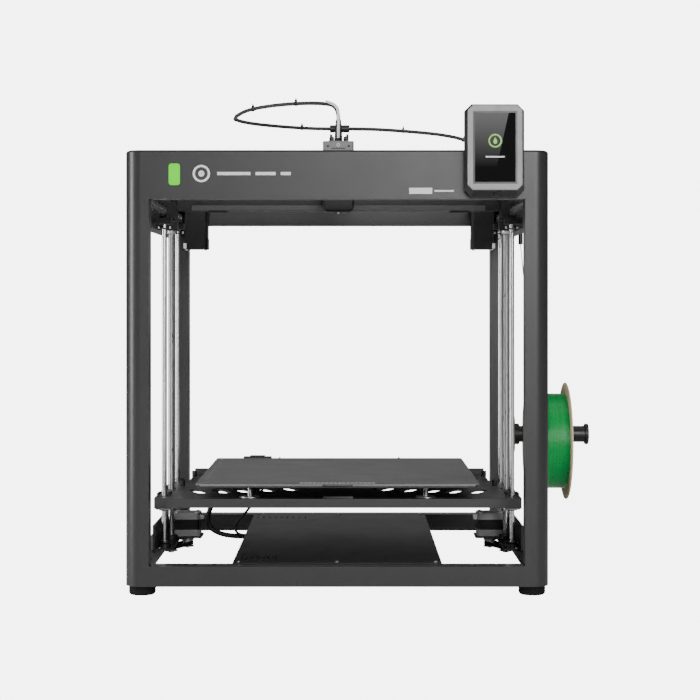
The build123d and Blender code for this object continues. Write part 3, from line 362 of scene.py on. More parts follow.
def circuit_board(name):
    """Green solder mask with paler tracks."""
    finish = Finish(name, (0.010, 0.085, 0.030), 0.35, specular_ior_level=0.5)
    tracks = finish.add("ShaderNodeTexBrick")
    tracks.inputs["Scale"].default_value = 90
    tracks.inputs["Mortar Size"].default_value = 0.03
    finish.link(finish.mapped(), tracks.inputs["Vector"])
    finish.paint(finish.mix(tracks.outputs["Fac"], (0.010, 0.085, 0.030, 1), (0.05, 0.22, 0.09, 1)))
    return finish.bump(tracks.outputs["Fac"], 0.3, 0.0001).material


def lit_lens(name, colour, glow):
    """Status lens, lit from behind and a little brighter at its middle."""
    finish = Finish(name, tuple(c * 0.2 for c in colour), 0.35, specular_ior_level=0.3)
    low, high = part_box("status_light")
    parts = finish.add("ShaderNodeTexGradient", gradient_type="SPHERICAL")
    place = finish.add("ShaderNodeMapping")
    centre = (low + high) / 2
    reach = (high.z - low.z) * 0.9
    place.inputs["Scale"].default_value = (1 / reach,) * 3
    place.inputs["Location"].default_value = tuple(-c / reach for c in centre)
    finish.link(finish.coords.outputs["Object"], place.inputs["Vector"])
    finish.link(place.outputs["Vector"], parts.inputs["Vector"])
    edge = (*(c * 0.7 for c in colour), 1.0)
    lit = finish.mix(parts.outputs["Fac"], edge, (*colour, 1.0))
    finish.link(lit, finish.shader.inputs["Emission Color"])
    finish.shader.inputs["Emission Strength"].default_value = glow
    return finish.material


def screen(name):
    """Black display glass with a painted reflection: a faint grey glow on one side of a slanted line,
    stronger towards the top.
    """
    finish = Finish(name, (0.003, 0.003, 0.003), 0.2, specular_ior_level=0.01)
    low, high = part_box("display_glass")
    parts = finish.add("ShaderNodeSeparateXYZ")
    finish.link(finish.coords.outputs["Object"], parts.inputs["Vector"])
    # The edge of the painted reflection is a slanted line across the glass.
    slant = finish.add("ShaderNodeMath", operation="MULTIPLY_ADD")
    finish.link(parts.outputs["Z"], slant.inputs[0])
    slant.inputs[1].default_value = -REFLECTION_SLANT
    finish.link(parts.outputs["X"], slant.inputs[2])
    edge = (low.x + high.x) / 2 + 0.008 - REFLECTION_SLANT * (low.z + high.z) / 2
    side = finish.add("ShaderNodeMath", operation="LESS_THAN")
    finish.link(slant.outputs["Value"], side.inputs[0])
    side.inputs[1].default_value = edge
    # Painted reflection: brighter towards the top of the glass, and only on one side of the slanted edge.
    rise = finish.ranged(parts.outputs["Z"], 0.0, 0.16, low.z + 0.02, high.z)
    reflection_strength = finish.add("ShaderNodeMath", operation="MULTIPLY")
    finish.link(rise, reflection_strength.inputs[0])
    finish.link(side.outputs["Value"], reflection_strength.inputs[1])
    glow = finish.mix(reflection_strength.outputs["Value"], (0, 0, 0, 1), (1, 1, 1, 1))
    finish.link(glow, finish.shader.inputs["Emission Color"])
    finish.shader.inputs["Emission Strength"].default_value = 1.0
    return finish.grain(600, 0.01, 0.00002).material


def two_part_cover(name, grey, black):
    """Grey moulded cover whose lower part, the air duct, is black."""
    finish = Finish(name, grey, 0.45, specular_ior_level=0.5)
    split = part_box("toolhead_cover")[0].z + DUCT_TOP
    finish.paint(finish.mix(finish.above("Z", split), (*black, 1.0), (*grey, 1.0)))
    return finish.grain(2600, 0.12, 0.00006).material


def motor_finish(name, black):
    """Cast end bells in silver on the lower motors, black laminations, and all-black upper motors."""
    finish = Finish(name, black, 0.45, specular_ior_level=0.3)
    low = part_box("stepper_motors")[0].z + 3 * MM
    stack = finish.between("Z", low + 10 * MM, low + 26 * MM)
    lower = finish.add("ShaderNodeMath", operation="SUBTRACT")
    lower.inputs[0].default_value = 1.0
    finish.link(finish.above("Z", low + 60 * MM), lower.inputs[1])
    silver = finish.add("ShaderNodeMath", operation="SUBTRACT", use_clamp=True)
    finish.link(lower.outputs["Value"], silver.inputs[0])
    finish.link(stack, silver.inputs[1])
    finish.paint(finish.mix(silver.outputs["Value"], (*black, 1.0), (0.33, 0.33, 0.335, 1)))
    finish.vary_roughness(0.06, 120)
    return finish.grain(1500, 0.2, 0.0001).material


def paint_all():
    """Every material of the printer, by a short name."""
    colours = bpy.context.scene.printer_finish
    paint, black = tuple(colours.paint), tuple(colours.black)
    return {
        "paint": powder_coat("frame powder coat", paint, 0.34),
        "black paint": powder_coat("black powder coat", tuple(c * 1.5 for c in black), 0.45),
        "pan paint": powder_coat("bed carrier powder coat", (0.03, 0.03, 0.031), 0.5),
        "black": moulded("black moulded plastic", black, 0.4),
        "satin black": moulded("black display housing", (0.02, 0.02, 0.021), 0.32),
        "bezel": moulded("grey display bezel", (0.26, 0.26, 0.264), 0.42),
        "screen frame": moulded("grey screen frame", (0.10, 0.10, 0.102), 0.35),
        "cover": two_part_cover("toolhead cover", (0.17, 0.17, 0.172), black),
        "screen": screen("display glass with painted reflection"),
        "lens": lit_lens("lit status lens", tuple(colours.light), colours.glow),
        "rod steel": brushed_metal("ground rod steel", (0.66, 0.66, 0.67), 0.24, (1, 1, 0.05)),
        "screw steel": brushed_metal("rolled screw steel", (0.58, 0.58, 0.585), 0.3, (1, 1, 0.3)),
        "rail steel": brushed_metal("ground rail steel", (0.5, 0.5, 0.51), 0.28, (1, 0.04, 1)),
        # Bare edge of the sheet: its own grey, made lighter and not metallic as a painted highlight.
        "edge grey and painted highlight": jacket("sheet edge with painted highlight", (0.17, 0.17, 0.172), 0.45),
        "bright steel": brushed_metal("bright fastener steel", (0.62, 0.62, 0.62), 0.3, (1, 1, 1)),
        "aluminium": brushed_metal("bead-blasted aluminium", (0.62, 0.62, 0.63), 0.4, (0.06, 1, 1)),
        "beam": powder_coat("anodised beam", (0.075, 0.075, 0.077), 0.4),
        "brass": brushed_metal("machined brass", (0.58, 0.40, 0.15), 0.3, (1, 1, 0.2)),
        "rubber": rubber("moulded rubber"),
        "sheet": textured_sheet("textured build sheet"),
        "card": pressed_card("pressed card"),
        "filament": wound_plastic("wound filament", tuple(colours.filament)),
        "sleeve": braided_sleeve("braided sleeve"),
        "tube": jacket("white feed tube", (0.80, 0.80, 0.79), 0.3),
        "cable": jacket("black cable jacket", (0.014, 0.014, 0.014), 0.5),
        "white": moulded("white moulded plastic", (0.78, 0.78, 0.76), 0.4),
        "board": circuit_board("circuit board"),
        "motor": motor_finish("stepper motor", (0.005, 0.005, 0.0055)),
        "print": jacket("pale screen print", (0.72, 0.72, 0.72), 0.55),
        "green": jacket("green screen mark", (0.30, 0.62, 0.12), 0.4),
    }


FINISHES = {}
NODE_FINISH = {
    "paint": ["column_front_left", "column_front_right", "column_rear_left", "column_rear_right",
              "top_front_panel", "top_rear_panel", "top_side_panels", "bottom_cross_beams",
              "bottom_side_beams"],
    "black paint": ["top_corner_brackets", "z_base_brackets", "y_carriages", "electronics_tray",
                    "electronics_cover", "spool_bracket"],
    "pan paint": ["bed_carrier", "heated_bed"],
    "black": ["nozzle_wiper", "tool_carriage", "cable_relief", "fan_rotor", "spool_spindle", "x_beam",
              "power_inlet", "power_switch", "cable_post"],
    "satin black": ["display_housing"],
    "bezel": ["display_bezel"],
    "cover": ["toolhead_cover"],
    "screen": ["display_glass"],
    "lens": ["status_light"],
    "rod steel": ["guide_rods"],
    "screw steel": ["lead_screw_left", "lead_screw_right"],
    "rail steel": ["y_rails"],
    "bright steel": ["bearing_blocks"],
    "aluminium": ["z_pulley_left", "z_pulley_right", "xy_pulley_left", "xy_pulley_right", "idler_left",
                  "idler_right", "power_supply", "bed_posts", "hotend"],
    "beam": ["x_rail"],
    "brass": ["lead_nuts"],
    "rubber": ["feet", "drive_belts"],
    "sheet": ["build_sheet"],
    "card": ["spool"],
    "filament": ["filament_winding", "filament_strand"],
    "sleeve": ["umbilical_front", "umbilical_rear", "umbilical_tail"],
    "cable": ["bed_cable"],
    "tube": ["feed_tube"],
    "board": ["mainboard"],
    "motor": ["stepper_motors"],
}


# Mesh helpers --------------------------------------------------------------------------------


def place(name, mesh, finish, body, slot=None, smooth=True):
    """Make an object of a mesh, give it its finish and let it ride on a body."""
    piece = bpy.data.objects.new(name, mesh)
    bpy.context.scene.collection.objects.link(piece)
    mesh.materials.clear()
    mesh.materials.append(FINISHES[finish])
    for face in mesh.polygons:
        face.use_smooth = smooth
    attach(piece, body)
    return piece


def make(name, build, finish, body, slot=None, smooth=True):
    """A piece whose mesh is built by a function."""
    return place(name, mesh_from(build, name), finish, body, slot, smooth)


def mm(*lengths):
    """Lengths in metres, given in millimetres."""
    return tuple(length * MM for length in lengths)


def corners(node, inset):
    """The four points of a CAD node's plan at an inset in millimetres from its sides."""
    low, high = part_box(node)
    inset *= MM
    return [(x, y) for x in (low.x + inset, high.x - inset) for y in (low.y + inset, high.y - inset)]


def mesh_from(build, name):
    """The mesh that a function builds in an empty bmesh, with its faces turned outwards."""
    work = bmesh.new()
    build(work)
    bmesh.ops.remove_doubles(work, verts=work.verts, dist=1e-6)
    bmesh.ops.recalc_face_normals(work, faces=work.faces)
    mesh = bpy.data.meshes.new(name)
    work.to_mesh(mesh)
    work.free()
    return mesh


def add_block(work, low, high, bevel=0.0004, segments=2):
    """A block between two corners with softened edges."""
    low, high = Vector(low), Vector(high)
    size = high - low
    matrix = Matrix.Translation((low + high) / 2) @ Matrix.Diagonal((*size, 1))
    made = bmesh.ops.create_cube(work, size=1.0, matrix=matrix)
    edges = {e for v in made["verts"] for e in v.link_edges}
    offset = min(bevel, 0.45 * min(size))
    bmesh.ops.bevel(work, geom=list(edges), offset=offset, segments=segments, profile=0.6,
                    affect="EDGES", clamp_overlap=True)


def add_bar(work, centre, size, bevel=0.4, segments=2):
    """A softened block about a centre, with its size and bevel in millimetres."""
    half = Vector(mm(*size)) / 2
    add_block(work, Vector(centre) - half, Vector(centre) + half, bevel * MM, segments)


def add_turned(work, profile, centre, axis="Z", segments=32, closed=True):
    """A turned shape with its profile in millimetres."""
    add_lathe(work, [mm(*point) for point in profile], centre, axis, segments, closed)


def add_lathe(work, profile, centre, axis="Z", segments=32, closed=True):
    """Turn a profile of (radius, height) points about an axis; its ends are closed with caps."""
    turn = {"X": Matrix.Rotation(math.pi / 2, 4, "Y"), "Y": Matrix.Rotation(-math.pi / 2, 4, "X"),
            "Z": Matrix.Identity(4)}[axis]
    move = Matrix.Translation(centre) @ turn
    rings = []
    for radius, height in profile:
        rings.append([work.verts.new(move @ Vector((radius * math.cos(a), radius * math.sin(a), height)))
                      for a in (2 * math.pi * k / segments for k in range(segments))])
    for lower, upper in zip(rings, rings[1:]):
        for k in range(segments):
            work.faces.new((lower[k], lower[k - 1], upper[k - 1], upper[k]))
    if closed:
        work.faces.new(rings[0])
        work.faces.new(rings[-1])
    else:
        for k in range(segments):
            work.faces.new((rings[-1][k], rings[-1][k - 1], rings[0][k - 1], rings[0][k]))


def add_ring(work, centre, axis, inner, outer, thickness, segments=32):
    """A flat ring with softened rims."""
    soft = min(thickness, outer - inner) * 0.2
    half = thickness / 2
    profile = [(inner, -half), (outer - soft, -half), (outer, -half + soft), (outer, half - soft),
               (outer - soft, half), (inner, half)]
    add_lathe(work, profile, centre, axis, segments, closed=False)


def route_points(points):
    """The line that a smooth cable follows, read from the NURBS spline of its route."""
    curve = bpy.data.curves.new("route", "CURVE")
    curve.dimensions = "3D"
    curve.resolution_u = 10
    spline = curve.splines.new("NURBS")
    spline.points.add(len(points) - 1)
    for point, control in zip(points, spline.points):
        control.co = (*spot(*point), 1.0)
    spline.order_u = 3
    spline.use_endpoint_u = True
    carrier = bpy.data.objects.new("route", curve)
    mesh = bpy.data.meshes.new_from_object(carrier)
    line = [v.co.copy() for v in mesh.vertices]
    bpy.data.meshes.remove(mesh)
    bpy.data.objects.remove(carrier)
    bpy.data.curves.remove(curve)
    return line


def frames_along(line):
    """A turned frame at each point of a line: tangent and two normals, without twist."""
    frames = []
    normal = None
    for k, point in enumerate(line):
        tangent = (line[min(k + 1, len(line) - 1)] - line[max(k - 1, 0)]).normalized()
        if normal is None:
            normal = tangent.orthogonal().normalized()
        normal = (normal - tangent * normal.dot(tangent)).normalized()
        frames.append((point, tangent, normal, tangent.cross(normal)))
    return frames


def tube_mesh(name, line, radius, segments=14):
    """A tube along a line, closed at both ends, mapped round and along."""
    work = bmesh.new()
    uv = work.loops.layers.uv.new("UVMap")
    rings, along, travelled = [], [], 0.0
    frames = frames_along(line)
    for k, (point, _, normal, other) in enumerate(frames):
        travelled += (point - frames[k - 1][0]).length if k else 0.0
        along.append(travelled)
        rings.append([work.verts.new(point + radius * (math.cos(a) * normal + math.sin(a) * other))
                      for a in (2 * math.pi * s / segments for s in range(segments))])
    for k in range(len(rings) - 1):
        for s in range(segments):
            nxt = (s + 1) % segments
            face = work.faces.new((rings[k][s], rings[k][nxt], rings[k + 1][nxt], rings[k + 1][s]))
            corners = ((s, k), (s + 1, k), (s + 1, k + 1), (s, k + 1))
            for loop, (turn, step) in zip(face.loops, corners):
                loop[uv].uv = (turn / segments, along[step])
    work.faces.new(list(reversed(rings[0])))
    work.faces.new(rings[-1])
    mesh = bpy.data.meshes.new(name)
    work.to_mesh(mesh)
    work.free()
    return mesh


# Geometry Nodes ------------------------------------------------------------------------------


class Tree:
    """A Geometry Nodes tree in the making."""

    def __init__(self, name, inputs):
        self.group = bpy.data.node_groups.new(name, "GeometryNodeTree")
        self.group.interface.new_socket("Geometry", in_out="INPUT", socket_type="NodeSocketGeometry")
        self.names = {}
        for label, kind, value in inputs:
            socket = self.group.interface.new_socket(label, in_out="INPUT", socket_type=f"NodeSocket{kind}")
            if value is not None:
                socket.default_value = value
            self.names[label] = socket.identifier
        self.group.interface.new_socket("Geometry", in_out="OUTPUT", socket_type="NodeSocketGeometry")
        self.input = self.group.nodes.new("NodeGroupInput")
        self.output = self.group.nodes.new("NodeGroupOutput")

    def add(self, kind, links=(), **settings):
        node = self.group.nodes.new(kind)
        for key, value in settings.items():
            setattr(node, key, value)
        for target, source in dict(links).items():
            if isinstance(source, bpy.types.NodeSocket):
                self.group.links.new(source, node.inputs[target])
            else:
                node.inputs[target].default_value = source
        return node

    def close(self, geometry):
        """End in real geometry with its material."""
        real = self.add("GeometryNodeRealizeInstances", {"Geometry": geometry})
        painted = self.add("GeometryNodeSetMaterial", {"Geometry": real.outputs["Geometry"],
                                                       "Material": self.input.outputs["Material"]})
        self.group.links.new(painted.outputs["Geometry"], self.output.inputs["Geometry"])


def grown(name, tree, values, body, points=(), facing=()):
    """Run a tree on loose points, keep its result as a plain mesh and let it ride on a body."""
    seed = bpy.data.meshes.new(name + "_seed")
    seed.from_pydata([tuple(p) for p in points] or [(0, 0, 0)], [], [])
    if facing:
        attribute = seed.attributes.new("facing", "FLOAT_VECTOR", "POINT")
        attribute.data.foreach_set("vector", [c for direction in facing for c in direction])
    carrier = bpy.data.objects.new(name + "_seed", seed)
    bpy.context.scene.collection.objects.link(carrier)
    modifier = carrier.modifiers.new("grow", "NODES")
    modifier.node_group = tree.group
    for label, value in values.items():
        modifier[tree.names[label]] = value
    bpy.context.view_layer.update()
    evaluated = carrier.evaluated_get(bpy.context.evaluated_depsgraph_get())
    mesh = bpy.data.meshes.new_from_object(evaluated)
    carrier.modifiers.remove(modifier)
    bpy.data.objects.remove(carrier)
    bpy.data.meshes.remove(seed)
    mesh.name = name
    piece = bpy.data.objects.new(name, mesh)
    bpy.context.scene.collection.objects.link(piece)
    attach(piece, body)
    return piece


def ring_stack_tree():
    """Round beads in a row, as wound turns or ribs, tapering from one radius to another."""
    tree = Tree("Ring Stack", [
        ("Count", "Int", 10), ("Pitch", "Float", 0.002), ("Radius", "Float", 0.05),
        ("Taper", "Float", 0.0), ("Bead", "Float", 0.001), ("Around", "Int", 96),
        ("Place", "Vector", None), ("Turn", "Vector", None), ("Material", "Material", None)])
    given = tree.input.outputs
    circle = tree.add("GeometryNodeCurvePrimitiveCircle", {"Resolution": given["Around"],
                                                           "Radius": given["Radius"]})
    bead = tree.add("GeometryNodeCurvePrimitiveCircle", {"Resolution": 8, "Radius": given["Bead"]})
    ring = tree.add("GeometryNodeCurveToMesh", {"Curve": circle.outputs["Curve"],
                                                "Profile Curve": bead.outputs["Curve"]})
    step = tree.add("ShaderNodeCombineXYZ", {"Z": given["Pitch"]})
    row = tree.add("GeometryNodeMeshLine", {"Count": given["Count"], "Offset": step.outputs["Vector"]})
    index = tree.add("GeometryNodeInputIndex")
    shrink = tree.add("ShaderNodeMath", {0: index.outputs["Index"], 1: given["Taper"]}, operation="MULTIPLY")
    left = tree.add("ShaderNodeMath", {0: 1.0, 1: shrink.outputs["Value"]}, operation="SUBTRACT")
    scale = tree.add("ShaderNodeCombineXYZ", {"X": left.outputs["Value"], "Y": left.outputs["Value"],
                                              "Z": 1.0})
    stack = tree.add("GeometryNodeInstanceOnPoints", {"Points": row.outputs["Mesh"],
                                                      "Instance": ring.outputs["Mesh"],
                                                      "Scale": scale.outputs["Vector"]})
    real = tree.add("GeometryNodeRealizeInstances", {"Geometry": stack.outputs["Instances"]})
    moved = tree.add("GeometryNodeTransform", {"Geometry": real.outputs["Geometry"],
                                               "Translation": given["Place"], "Rotation": given["Turn"]})
    tree.close(moved.outputs["Geometry"])
    return tree


def cap_screw_tree():
    """A socket-head screw on every point, facing the way that the point says."""
    tree = Tree("Cap Screws", [("Radius", "Float", 0.003), ("Height", "Float", 0.002),
                               ("Material", "Material", None)])
    given = tree.input.outputs
    head = tree.add("GeometryNodeMeshCylinder", {"Vertices": 18, "Radius": given["Radius"],
                                                 "Depth": given["Height"]}, fill_type="NGON")
    rim = tree.add("GeometryNodeExtrudeMesh", {"Mesh": head.outputs["Mesh"], "Selection": head.outputs["Top"],
                                               "Offset Scale": 0.0}, mode="FACES")
    inner = tree.add("GeometryNodeScaleElements", {"Geometry": rim.outputs["Mesh"],
                                                   "Selection": rim.outputs["Top"], "Scale": 0.55},
                     domain="FACE")
    depth = tree.add("ShaderNodeMath", {0: given["Height"], 1: -0.7}, operation="MULTIPLY")
    socket = tree.add("GeometryNodeExtrudeMesh", {"Mesh": inner.outputs["Geometry"],
                                                  "Selection": rim.outputs["Top"],
                                                  "Offset Scale": depth.outputs["Value"]}, mode="FACES")
    facing = tree.add("GeometryNodeInputNamedAttribute", {"Name": "facing"}, data_type="FLOAT_VECTOR")
    turn = tree.add("FunctionNodeAlignRotationToVector", {"Vector": facing.outputs["Attribute"]}, axis="Z")
    field = tree.add("GeometryNodeInstanceOnPoints", {"Points": given["Geometry"],
                                                      "Instance": socket.outputs["Mesh"],
                                                      "Rotation": turn.outputs["Rotation"]})
    tree.close(field.outputs["Instances"])
    return tree


def bar_row_tree():
    """Equal bars in a row, as louvres, belt teeth or printed dashes."""
    tree = Tree("Bar Row", [("Count", "Int", 10), ("Step", "Vector", None), ("Size", "Vector", None),
                            ("Start", "Vector", None), ("Material", "Material", None)])
    given = tree.input.outputs
    bar = tree.add("GeometryNodeMeshCube", {"Size": given["Size"]})
    row = tree.add("GeometryNodeMeshLine", {"Count": given["Count"], "Start Location": given["Start"],
                                            "Offset": given["Step"]})
    bars = tree.add("GeometryNodeInstanceOnPoints", {"Points": row.outputs["Mesh"],
                                                     "Instance": bar.outputs["Mesh"]})
    tree.close(bars.outputs["Instances"])
    return tree


TREES = {}


def rings(name, body, finish, count, pitch, radius, bead, place_at, turn=(0, 0, 0), taper=0.0,
          around=96, slot=None):
    return grown(name, TREES["rings"], {
        "Count": count, "Pitch": pitch, "Radius": radius, "Taper": taper, "Bead": bead,
        "Around": around, "Place": tuple(place_at), "Turn": turn, "Material": FINISHES[finish]}, body)


def screws(name, body, spots, radius=None, height=1.6 * MM, finish="bright steel"):
    """Cap screws at (point, direction) pairs, standing on the surface at each point."""
    head = radius or bpy.context.scene.printer_detail.screw_head
    points = [Vector(p) + Vector(d) * height / 2 for p, d in spots]
    return grown(name, TREES["screws"], {"Radius": head, "Height": height, "Material": FINISHES[finish]},
                 body, points=points, facing=[d for _, d in spots])


def bars(name, body, finish, count, start, step, size, slot=None):
    return grown(name, TREES["bars"], {"Count": count, "Start": tuple(start), "Step": tuple(step),
                                       "Size": tuple(size), "Material": FINISHES[finish]}, body)


# Operators -----------------------------------------------------------------------------------


class PRINTER_OT_stage(bpy.types.Operator):
    """Floor, soft studio lights and the camera"""
    bl_idname = "printer.stage"
    bl_label = "Stage"

    def execute(self, context):
        settings = context.scene.printer_stage
        mesh = bpy.data.meshes.new("studio_floor")
        reach = FLOOR_REACH
        mesh.from_pydata([(-reach, -reach, 0), (reach, -reach, 0), (reach, reach, 0), (-reach, reach, 0)],
                         [], [(0, 1, 2, 3)])
        floor = bpy.data.objects.new("studio_floor", mesh)
        context.scene.collection.objects.link(floor)
        finish = Finish("studio floor", settings.floor_colour, 0.9, specular_ior_level=0.1).shade(0.01, 2)
        glow, path = finish.add("ShaderNodeEmission"), finish.add("ShaderNodeLightPath")
        glow.inputs["Strength"].default_value = BACKDROP
        mix = finish.add("ShaderNodeMixShader")
        finish.link(path.outputs["Is Camera Ray"], mix.inputs["Fac"])
        finish.link(finish.shader.outputs["BSDF"], mix.inputs[1])
        finish.link(glow.outputs["Emission"], mix.inputs[2])
        finish.link(mix.outputs["Shader"], finish.tree.nodes["Material Output"].inputs["Surface"])
        mesh.materials.append(finish.material)
        self.light_world(context)
        self.light(context, "key", (1.35, -4.6, 1.75), (0, 0, 0.5), 3.2, 2.2, settings.key_power)
        self.light(context, "left_strip", (-2.8, -1.0, 0.6), (-0.3, -0.3, 0.4), 0.8, 2.6, settings.rim_power)
        self.light(context, "overhead", (0, 0.3, 2.6), (0, 0, 0.3), 2.2, 1.6, settings.top_power)
        self.light(context, "behind", (0, 3.2, 0.9), (0, 0, 0.1), 3.4, 1.2, settings.back_power)
        self.camera(context, settings)
        return {"FINISHED"}

    def light_world(self, context):
        """White behind the printer, a softer grey for what lights it."""
        world = bpy.data.worlds.new("studio")
        world.use_nodes = True
        context.scene.world = world
        nodes, links = world.node_tree.nodes, world.node_tree.links
        seen = nodes.new("ShaderNodeBackground")
        seen.inputs["Color"].default_value = (1, 1, 1, 1)
        seen.inputs["Strength"].default_value = BACKDROP
        lighting = nodes["Background"]
        lighting.inputs["Color"].default_value = (1, 1, 1, 1)
        lighting.inputs["Strength"].default_value = context.scene.printer_stage.fill
        path, mix = nodes.new("ShaderNodeLightPath"), nodes.new("ShaderNodeMixShader")
        links.new(path.outputs["Is Camera Ray"], mix.inputs["Fac"])
        links.new(lighting.outputs["Background"], mix.inputs[1])
        links.new(seen.outputs["Background"], mix.inputs[2])
        links.new(mix.outputs["Shader"], nodes["World Output"].inputs["Surface"])

    def light(self, context, name, where, towards, width, height, power):
        data = bpy.data.lights.new(name, "AREA")
        data.shape, data.size, data.size_y, data.energy = "RECTANGLE", width, height, power
        lamp = bpy.data.objects.new(name, data)
        lamp.location = where
        lamp.rotation_euler = (Vector(towards) - Vector(where)).to_track_quat("-Z", "Y").to_euler()
        context.scene.collection.objects.link(lamp)

    def camera(self, context, settings):
        """Level, a little right of the frame's middle and above half its height."""
        data = bpy.data.cameras.new("camera")
        data.lens, data.sensor_width, data.shift_y = settings.lens, 36.0, CAMERA_SHIFT
        data.clip_end = 100.0
        camera = bpy.data.objects.new("camera", data)
        camera.location = spot(*CAMERA_AT)
        camera.rotation_euler = (math.pi / 2, 0, 0)
        context.scene.collection.objects.link(camera)
        context.scene.camera = camera


class PRINTER_OT_finishes(bpy.types.Operator):
    """Make the materials and trees, and put a material on every CAD piece"""
    bl_idname = "printer.finishes"
    bl_label = "Finishes"

    def execute(self, context):
        FINISHES.update(paint_all())
        TREES.update(rings=ring_stack_tree(), screws=cap_screw_tree(), bars=bar_row_tree())
        for finish, nodes in NODE_FINISH.items():
            for node in nodes:
                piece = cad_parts[node]
                for material_slot in piece.material_slots:
                    material_slot.material = FINISHES[finish]
        return {"FINISHED"}


class PRINTER_OT_cables(bpy.types.Operator):
    """Umbilical with its ties, feed tube, the bed's two cables and the strand of filament"""
    bl_idname = "printer.cables"
    bl_label = "Cables"

    def execute(self, context):
        front, rear = UMBILICAL_FRONT[-1], UMBILICAL_REAR[-1]
        at_front, at_rear = spot(front[0], 0, 0.7), spot(0, front[1], 0.7)
        self.cable("umbilical_front_sleeve", "umbilical_front", UMBILICAL_FRONT, CABLE, "sleeve", "toolhead",
                   ties=(0.42, 0.78), blend=("toolhead", "gantry", spot(0, 0, 0.7), at_front))
        self.cable("umbilical_rear_sleeve", "umbilical_rear", UMBILICAL_REAR, CABLE, "sleeve", "frame",
                   ties=(0.12, 0.78), blend=("gantry", "frame", at_rear, spot(0, rear[1], 0.7)))
        self.cable("umbilical_tail_sleeve", "umbilical_tail", UMBILICAL_TAIL, CABLE, "sleeve", "frame",
                   ties=(0.34, 0.72))
        self.cable("feed_tube_white", "feed_tube", FEED_ROUTE, FEED_TUBE, "tube", "toolhead",
                   stiffness="stiff")
        for name, route, diameter in (("bed_cable_loop", BED_CABLE_ROUTE, BED_CABLE),
                                      ("sensor_cable_loop", SENSOR_CABLE_ROUTE, SENSOR_CABLE)):
            self.cable(name, "bed_cable", route, diameter, "cable", "bed",
                       blend=("bed", "frame", spot(0, 0, route[0][2]), spot(0, 0, route[-1][2])))
        self.cable("filament_line", "filament_strand", FILAMENT_ROUTE, STRAND, "filament", "frame",
                   stiffness="stiff", lay="taut")
        return {"FINISHED"}

    def cable(self, name, node, route, diameter, finish, body, ties=(), blend=None, stiffness="medium",
              lay="hanging"):
        line = route_points(route)
        piece = place(name, tube_mesh(name, line, diameter / 2), finish, body)
        going = [self.tie(f"{name}_tie_{k}", line, share, diameter / 2, body) for k, share in enumerate(ties)]
        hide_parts(node)
        if blend:
            for part in (piece, *going):
                self.join(part, *blend)

    def join(self, piece, first, second, start, end):
        """Take a piece off its body and bake its place into its mesh."""
        piece.parent = None
        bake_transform(piece)

    def tie(self, name, line, share, radius, body):
        """A cable tie: a tight band with its ratchet block and a cut tail."""
        frames = frames_along(line)
        point, tangent, _, _ = frames[round(share * (len(frames) - 1))]
        up = Vector((0, 0, 1)) - tangent * tangent.z
        up.normalize()
        side = tangent.cross(up)
        turn = Matrix((tangent, side, up)).transposed().to_4x4()
        move = Matrix.Translation(point) @ turn

        def build(work):
            add_ring(work, (0, 0, 0), "X", radius, radius + 0.9 * MM, 2.6 * MM, 20)
            add_bar(work, (0, 0, radius + 1.6 * MM), (3.6, 3.2, 3.2))
            add_bar(work, (0, 0, radius + 4.5 * MM), (1.8, 1, 3), 0.2)
            work.transform(move)
        return place(name, mesh_from(build, name), "black", body, smooth=False)


class PRINTER_OT_spool(bpy.types.Operator):
    """Turns of filament on the spool and the rims of its card flanges"""
    bl_idname = "printer.spool"
    bl_label = "Spool"

    def execute(self, context):
        strand = context.scene.printer_detail.strand
        low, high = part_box("filament_winding")
        centre = (low + high) / 2
        count = int((high.x - low.x - strand) / strand) + 1
        start = Vector((low.x + strand / 2, centre.y, centre.z))
        rings("filament_turns", "spool", "filament", count, strand, (high.z - low.z) / 2,
              strand / 2 * TURN_OVERLAP, start, (0, math.pi / 2, 0), around=128, slot="filament_green")
        low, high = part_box("spool")
        rim = (high.z - low.z) / 2 / MM - 3.2

        def build(work):
            for x, side in ((low.x, -1), (high.x, 1)):
                for radius, width in ((rim, 2), (37, 3), (29, 2)):
                    add_ring(work, (x + side * 0.15 * MM, centre.y, centre.z), "X",
                             *mm(radius, radius + width, 0.9), 96)
        make("spool_flange_rings", build, "card", "spool", "card")
        self.label(high.x, centre)
        self.spindle_cap()
        return {"FINISHED"}

    def label(self, x, centre):
        """A plain paper ring on the outer flange."""
        def build(work):
            add_ring(work, (x + 0.1 * MM, centre.y, centre.z), "X", *mm(45, 74, 0.4), 96)
        make("spool_label", build, "white", "spool")

    def spindle_cap(self):
        """A softened cap and a grip ring on the spindle's end."""
        low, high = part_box("spool_spindle")
        middle = (low + high) / 2
        radius = (high.z - low.z) / 2

        def build(work):
            add_turned(work, [(2, 0), (11, 0), (11, 1.2), (9.5, 2), (2, 2.4)],
                       (high.x - 7 * MM, middle.y, middle.z), "X", 48)
            for k in range(GRIP_RIBS):
                angle = 2 * math.pi * k / GRIP_RIBS
                y, z = middle.y + radius * math.cos(angle), middle.z + radius * math.sin(angle)
                add_bar(work, (high.x - 3 * MM, y, z), (4.8, 1.4, 1.4), 0.3, 1)
        make("spindle_grip", build, "black", "frame", "black_plastic")


